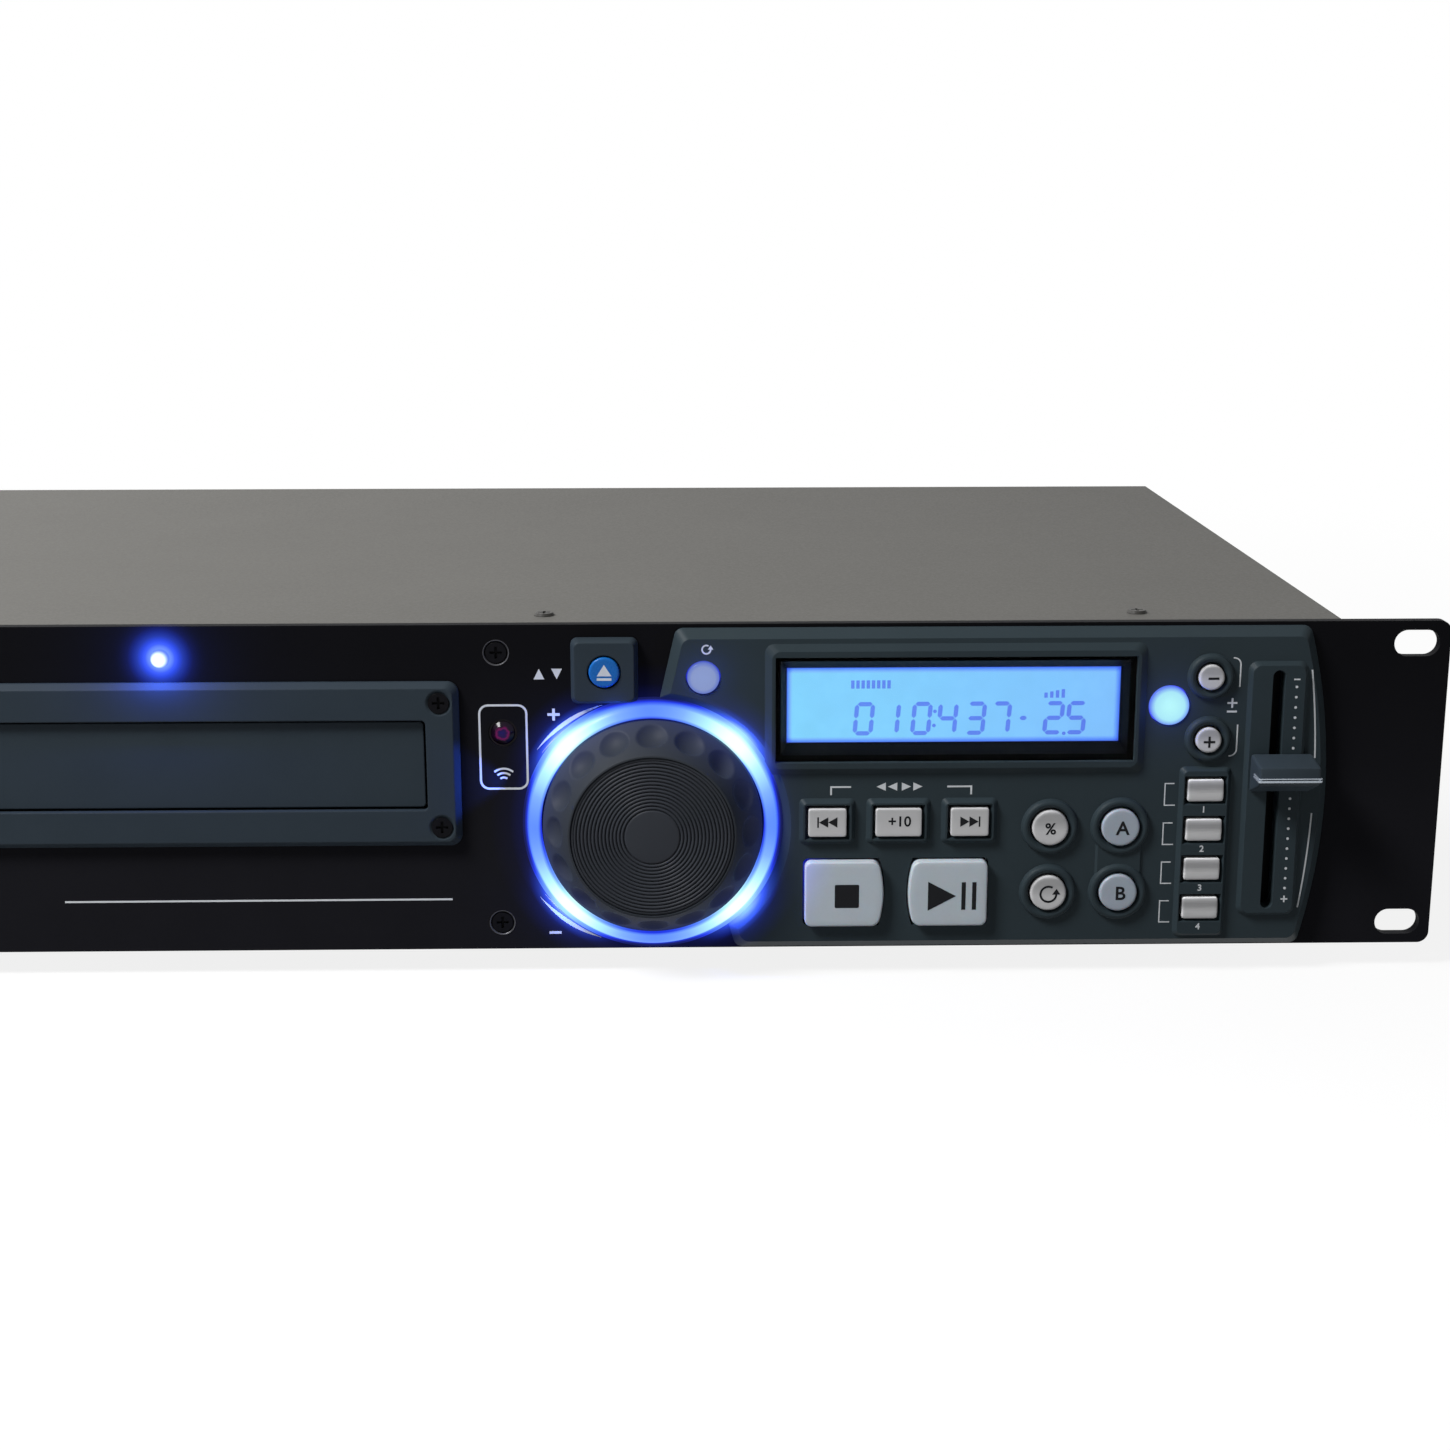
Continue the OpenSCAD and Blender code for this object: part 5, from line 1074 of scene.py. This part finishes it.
def add_light_ring():
    """A quarter-round lens with a thin skirt, which reaches to the bezel."""
    inner = RING_R - RING_W
    proud = RING_HIGH.y - RING_LOW.y
    outer = RING_R + SKIRT_W
    steps = 12
    profile = [(inner, PANEL_FACE), (outer, PANEL_FACE), (outer, PANEL_FACE - SKIRT_T)]
    for i in range(steps + 1):
        angle = math.pi / 2 * i / steps
        rise = max(SKIRT_T, proud * math.sin(angle) ** 0.9)
        profile.append((inner + RING_W * math.cos(angle), PANEL_FACE - rise))
    bm = bmesh.new()
    turned(bm, profile, (JOG_X, JOG_Z), 160, closed=True)
    piece("jog_glow_ring", bm, "ring_blue", "chassis", ["jog_light_ring"], 50)


# Screw cups

CUP_INNER, CUP_OUTER = 2.72, 3.42
CUP_DEPTH = 0.6
CUP_RIM = 0.12
PANEL_SCREWS = [(x, s * 36.7) for x in (-196, -7) for s in (-1, 1)]


def add_screw_cups():
    """A dished rim round each screw of the panel."""
    bm = bmesh.new()
    profile = [
        (CUP_INNER, PANEL_FACE + CUP_DEPTH), (CUP_OUTER, PANEL_FACE), (CUP_OUTER, PANEL_FACE - CUP_RIM),
        (CUP_OUTER - CUP_RIM, PANEL_FACE - CUP_RIM),
    ]
    for place in PANEL_SCREWS:
        turned(bm, profile, place, 48, closed=True)
    piece("screw_cups", bm, "cup_black", "chassis")


# Fader cap

# The lip's reach past the cap, where it ends, and its height above the cap's middle
LIP = 0.35
LIP_BACK = 5.5
LIP_UP = 0.42
LIP_CORNER = 0.5
SLOT_SHIFT = -1.6
LEVER_SIZE = (1.2, 4)


def add_fader_cap():
    """A wedge with a plain top, a flat front and soft ends, on its lever."""
    low, high = box_mm("fader_cap")
    base = COLLAR_FACE - 0.3
    middle_z = (low.z + high.z) / 2
    front = low.y + LIP
    side = [(base, low.z), (base, high.z - 0.5), (base - 0.5, high.z - 0.07)]
    for back, up in ((0.5, 3.75), (0.1, 3.6), (0, 3.2), (0, -0.1), (1.0, -1.3)):
        side.append((front + back, middle_z + up))

    def section(x, shrink):
        return [(x, y + (base - y) * shrink, middle_z + (z - middle_z) * (1 - shrink)) for y, z in side]

    ends = [(0.0, 0.09), (0.12, 0.045), (0.35, 0.015), (0.8, 0.0)]
    bm = bmesh.new()
    skin(bm, [section(low.x + LIP + away, shrink) for away, shrink in ends]
         + [section(high.x - LIP - away, shrink) for away, shrink in reversed(ends)])
    lever_x = (low.x + high.x) / 2 + SLOT_SHIFT
    skin(bm, [
        [(x, y, z) for x, z in bar(lever_x, middle_z, *LEVER_SIZE)] for y in (base, high.y)
    ])
    # the cap's lighter slate is painted light
    piece("fader_grip", bm, "cap_slate_painted_light", "fader", ["fader_cap"], 25)
    add_fader_lip(low, high, middle_z + LIP_UP)


def add_fader_lip(low, high, z):
    """Two thin ridges with a groove between them, round the front and the ends of the cap; their pale finish
    is a painted highlight.
    """
    ridge = [
        (-0.5, 0.55), (-0.06, 0.55), (0.0, 0.48), (0.0, 0.36), (-0.4, 0.28), (-0.4, 0.06), (0.0, -0.02),
        (0.0, -0.42), (-0.06, -0.55), (-0.5, -0.55),
    ]
    back, corner = low.y + LIP_BACK, LIP_CORNER
    path = [(low.x, back, -1, 0)]
    turns = (0, 30, 60, 90)
    for x, sign, bend in ((low.x + corner, -1, turns), (high.x - corner, 1, turns[::-1])):
        for turn in bend:
            a = math.radians(turn)
            path.append((x, low.y + corner, sign * math.cos(a), -math.sin(a)))
    path.append((high.x, back, 1, 0))
    rings = []
    for i, (x, y, nx, ny) in enumerate(path):
        reach = 0 if i in (0, len(path) - 1) else corner
        rings.append([(x + nx * (reach + out), y + ny * (reach + out), z + up) for out, up in ridge])
    bm = bmesh.new()
    skin(bm, rings)
    piece("fader_lip", bm, "lip_painted_highlight", "fader", sharp=25)


# Printed lines and signs: places are (x, z) in millimetres

SENSOR_FRAME = (-5.6, 11.5)
SENSOR_WAVES = (-5.7, 1.9)
TRAY_LINE = [(-122.5, -30.2), (-20.1, -30.1)]
PANEL_PLUS, PANEL_MINUS = (7.6, 20.2), (7.0, -39.6)
PANEL_ARROWS = (
    [(2.6, 29.6), (5.4, 29.6), (4.0, 32.4)],
    [(7.2, 32.4), (8.6, 29.6), (10.0, 32.4)],
)
# Sweeps round the ring: first angle, turn over (1) and under (-1) it, and width and distance of each line
SWEEP_START = 146
SWEEP_TURNS = ((1, 34), (-1, 32))
SWEEP_LINES = ((1.1, 3.1), (0.5, 1.6))
SWEEP_CLOSING = 1.6
SWEEP_TIP = 0.08


def draw_sweep(bm, flip, turn, thick, offset, count=20):
    """A line with thin ends that draws nearer to the light ring along its way."""
    points, widths = [], []
    for i in range(count + 1):
        share = i / count
        angle = math.radians(SWEEP_START - turn * share) * flip
        radius = RING_R + offset - SWEEP_CLOSING * share
        points.append((JOG_X + radius * math.cos(angle), JOG_Z + radius * math.sin(angle)))
        widths.append(max(thick * math.sin(math.pi * share), SWEEP_TIP))
    band(bm, points, widths, PANEL_FACE)


def add_panel_prints():
    bm = bmesh.new()
    y = PANEL_FACE
    frame_line(bm, rounded(12.8, 23, 2.5, *SENSOR_FRAME), rounded(11.7, 21.9, 2.0, *SENSOR_FRAME), y)
    band(bm, TRAY_LINE, 0.5, y)
    for flip, turn in SWEEP_TURNS:
        for thick, offset in SWEEP_LINES:
            draw_sweep(bm, flip, turn, thick, offset)
    plus(bm, *PANEL_PLUS, 3.2, 0.7, y)
    prism(bm, bar(*PANEL_MINUS, 3.2, 0.7), y)
    for reach in (1.4, 2.6, 3.8):
        band(bm, arc(*SENSOR_WAVES, reach, 50, 130, 10), 0.5, y)
    for outline in PANEL_ARROWS:
        prism(bm, outline, y)
    piece("panel_prints", bm, "print_white", "chassis")


TRACK_BRACKETS = (
    [(79.9, -0.9), (79.9, 1.26), (85.1, 1.26)],
    [(110.3, 1.26), (116.6, 1.26), (116.6, -0.9)],
)
SEARCH_BACK, SEARCH_NEXT = (93.0, 1.3), (99.6, 1.3)
SEARCH_STEP = 3.0
# Bracket beside each mode key: its left side and its two ends, and its heights from the key's middle
MODE_BRACKET_X = (167.5, 169.9, 170.3)
MODE_BRACKET_Z = (1.6, -4.3)
# The line between mode keys and fader with bent ends, and the signs in its gap
BEND_X, BEND_R = 183.9, 1.8
BEND_TOP, BEND_BOTTOM = (33.5, 27.6), (10.9, 17.5)
BEND_PLUS, BEND_MINUS = (184.0, 23.3), (184.0, 21.0)
# The bowed lines right of the fader: place, radius, and heights of each run
BOW_X, BOW_R = 206.6, 230
BOW_RUNS = ((32, 8.4), (-6.6, -32.6))
LOOP_SIGN = (47.4, 38.1)
LOOP_HEAD = [(47.8, 38.1), (49.2, 38.1), (48.5, 39.2)]
# The fader's scale: its line of dots, and the signs at its ends
SCALE_X, SCALE_TOP, SCALE_H = 200.2, 27.8, 54.6
SCALE_DOTS, DOT_R = 21, 0.36
SCALE_SIGN = 29.8


def add_control_prints():
    bm = bmesh.new()
    draw_bezel_lines(bm, CONTROL_FACE)
    draw_fader_scale(bm, COLLAR_FACE)
    for number, node in enumerate(MODE_KEYS, 1):
        x, z = middle(node)
        figures(bm, str(number), x - 0.3, z - 5.2, 1.7, COLLAR_FACE)
    piece("control_prints", bm, "print_white", "chassis")


def draw_bezel_lines(bm, y):
    for bracket in TRACK_BRACKETS:
        band(bm, bracket, 0.45, y)
    for shift in (0, SEARCH_STEP):
        for (x, z), direction in ((SEARCH_BACK, -1), (SEARCH_NEXT, 1)):
            prism(bm, triangle(x + shift, z, 2.4, 2.2, direction), y)
    left, top_x, bottom_x = MODE_BRACKET_X
    for node in MODE_KEYS:
        top, bottom = (middle(node)[1] + up for up in MODE_BRACKET_Z)
        band(bm, [(top_x, top), (left, top), (left, bottom), (bottom_x, bottom)], 0.3, y)
    bend_side = BEND_X + BEND_R
    band(bm, arc(BEND_X, BEND_TOP[0], BEND_R, 95, 0, 8) + [(bend_side, BEND_TOP[1])], 0.36, y)
    band(bm, [(bend_side, BEND_BOTTOM[1])] + arc(BEND_X, BEND_BOTTOM[0], BEND_R, 0, -95, 8), 0.36, y)
    plus(bm, *BEND_PLUS, 2.6, 0.5, y)
    prism(bm, bar(*BEND_MINUS, 2.6, 0.5), y)
    for run in BOW_RUNS:
        start, end = (math.degrees(math.asin(z / BOW_R)) for z in run)
        band(bm, arc(BOW_X - BOW_R, 0, BOW_R, start, end, 14), 0.4, y)
    band(bm, arc(*LOOP_SIGN, 1.1, 60, 360, 20), 0.4, y)
    prism(bm, LOOP_HEAD, y)


def draw_fader_scale(bm, y):
    prism(bm, bar(SCALE_X, SCALE_SIGN, 1.6, 0.4), y)
    plus(bm, SCALE_X, -SCALE_SIGN, 1.8, 0.4, y)
    for i in range(SCALE_DOTS):
        prism(bm, disc(SCALE_X, SCALE_TOP - i * SCALE_H / (SCALE_DOTS - 1), DOT_R, 12), y)


# Display figures

SEGMENTS = {
    "0": "abcdef", "1": "bc", "2": "abged", "3": "abgcd", "4": "fgbc", "5": "afgcd", "7": "abc", "-": "g",
}


def segment_shapes(x, z, w, h, t):
    """The seven bars of a figure, centred on (x, z)."""
    gap = 0.12
    flat, tall = w - t - 2 * gap, h / 2 - t / 2 - 2 * gap

    def pointed(length):
        half, tip = length / 2, t / 2
        flank = half - tip
        return [(-half, 0), (-flank, -tip), (flank, -tip), (half, 0), (flank, tip), (-flank, tip)]

    def lie(cz):
        return [(x + along, cz + across) for along, across in pointed(flat)]

    def stand(cx, cz):
        return [(cx - across, cz + along) for along, across in pointed(tall)]

    side, up, low = (w - t) / 2, z + (h - t) / 4, z - (h - t) / 4
    return {
        "a": lie(z + (h - t) / 2), "g": lie(z), "d": lie(z - (h - t) / 2), "f": stand(x - side, up),
        "b": stand(x + side, up), "e": stand(x - side, low), "c": stand(x + side, low),
    }


# Figures and their places from left to right, their middle, lean and thickness, and the points between them
DISPLAY_CELLS = [
    ("0", 88.6), ("1", 95.4), ("0", 103.7), ("4", 110.5), ("3", 117.9), ("7", 124.5), ("-", 130.4),
    ("2", 138.4), ("5", 144.3),
]
DISPLAY_Z = 18.4
DISPLAY_LEAN = 0.08
DISPLAY_INK = 0.04
DISPLAY_POINTS = ((107.2, 20.3), (107.0, 16.5), (141.2, 14.2))
FIGURE_W, DASH_W, FIGURE_H, BAR_T = 5.3, 3.4, 9.0, 1.15


def add_display_figures():
    bm = bmesh.new()
    for figure, x in DISPLAY_CELLS:
        shapes = segment_shapes(x, DISPLAY_Z, DASH_W if figure == "-" else FIGURE_W, FIGURE_H, BAR_T)
        for bar_name in SEGMENTS[figure]:
            leaning = [(px + (pz - DISPLAY_Z) * DISPLAY_LEAN, pz) for px, pz in shapes[bar_name]]
            prism(bm, leaning, LCD_FACE, DISPLAY_INK)
    for place in DISPLAY_POINTS:
        prism(bm, disc(*place, 0.5, 12), LCD_FACE, DISPLAY_INK)
    for i in range(8):
        prism(bm, bar(85.6 + i * 1.35, 27.6, 0.9, 2.2), LCD_FACE, DISPLAY_INK)
    for i in range(4):
        prism(bm, bar(136.2 + i * 1.5, 24.5 + i * 0.15, 0.9, 1.4 + i * 0.3), LCD_FACE, DISPLAY_INK)
    piece("display_figures", bm, "lcd_segment", "chassis")


# Status lamp

LAMP_R, LAMP_FLANGE_R = 2.4, 3.0


def add_status_lamp():
    """A flange behind the panel and a domed lens in front of it."""
    low, high = box_mm("status_led")
    radius, flange_r = LAMP_R, LAMP_FLANGE_R
    shoulder = PANEL_FACE - 0.4
    steps = 8
    profile = [(CORE, high.y), (flange_r, high.y), (flange_r, 0.0), (radius, 0.0), (radius, shoulder)]
    for i in range(1, steps + 1):
        angle = math.pi / 2 * i / steps
        dome = shoulder - (shoulder - low.y) * math.sin(angle)
        profile.append((max(radius * math.cos(angle), CORE), dome))
    bm = bmesh.new()
    turned(bm, profile, (LED_X, LED_Z), 40)
    piece("status_lamp", bm, "led_blue", "chassis", ["status_led"])


def main():
    add_camera()
    add_world()
    add_floor()
    add_lights()
    dress_cad()
    add_keys()
    add_key_marks()
    add_jog_wheel()
    add_jog_insert()
    add_light_ring()
    add_screw_cups()
    add_fader_cap()
    add_panel_prints()
    add_control_prints()
    add_display_figures()
    add_status_lamp()
    bpy.context.scene.view_settings.view_transform = "Standard"


main()
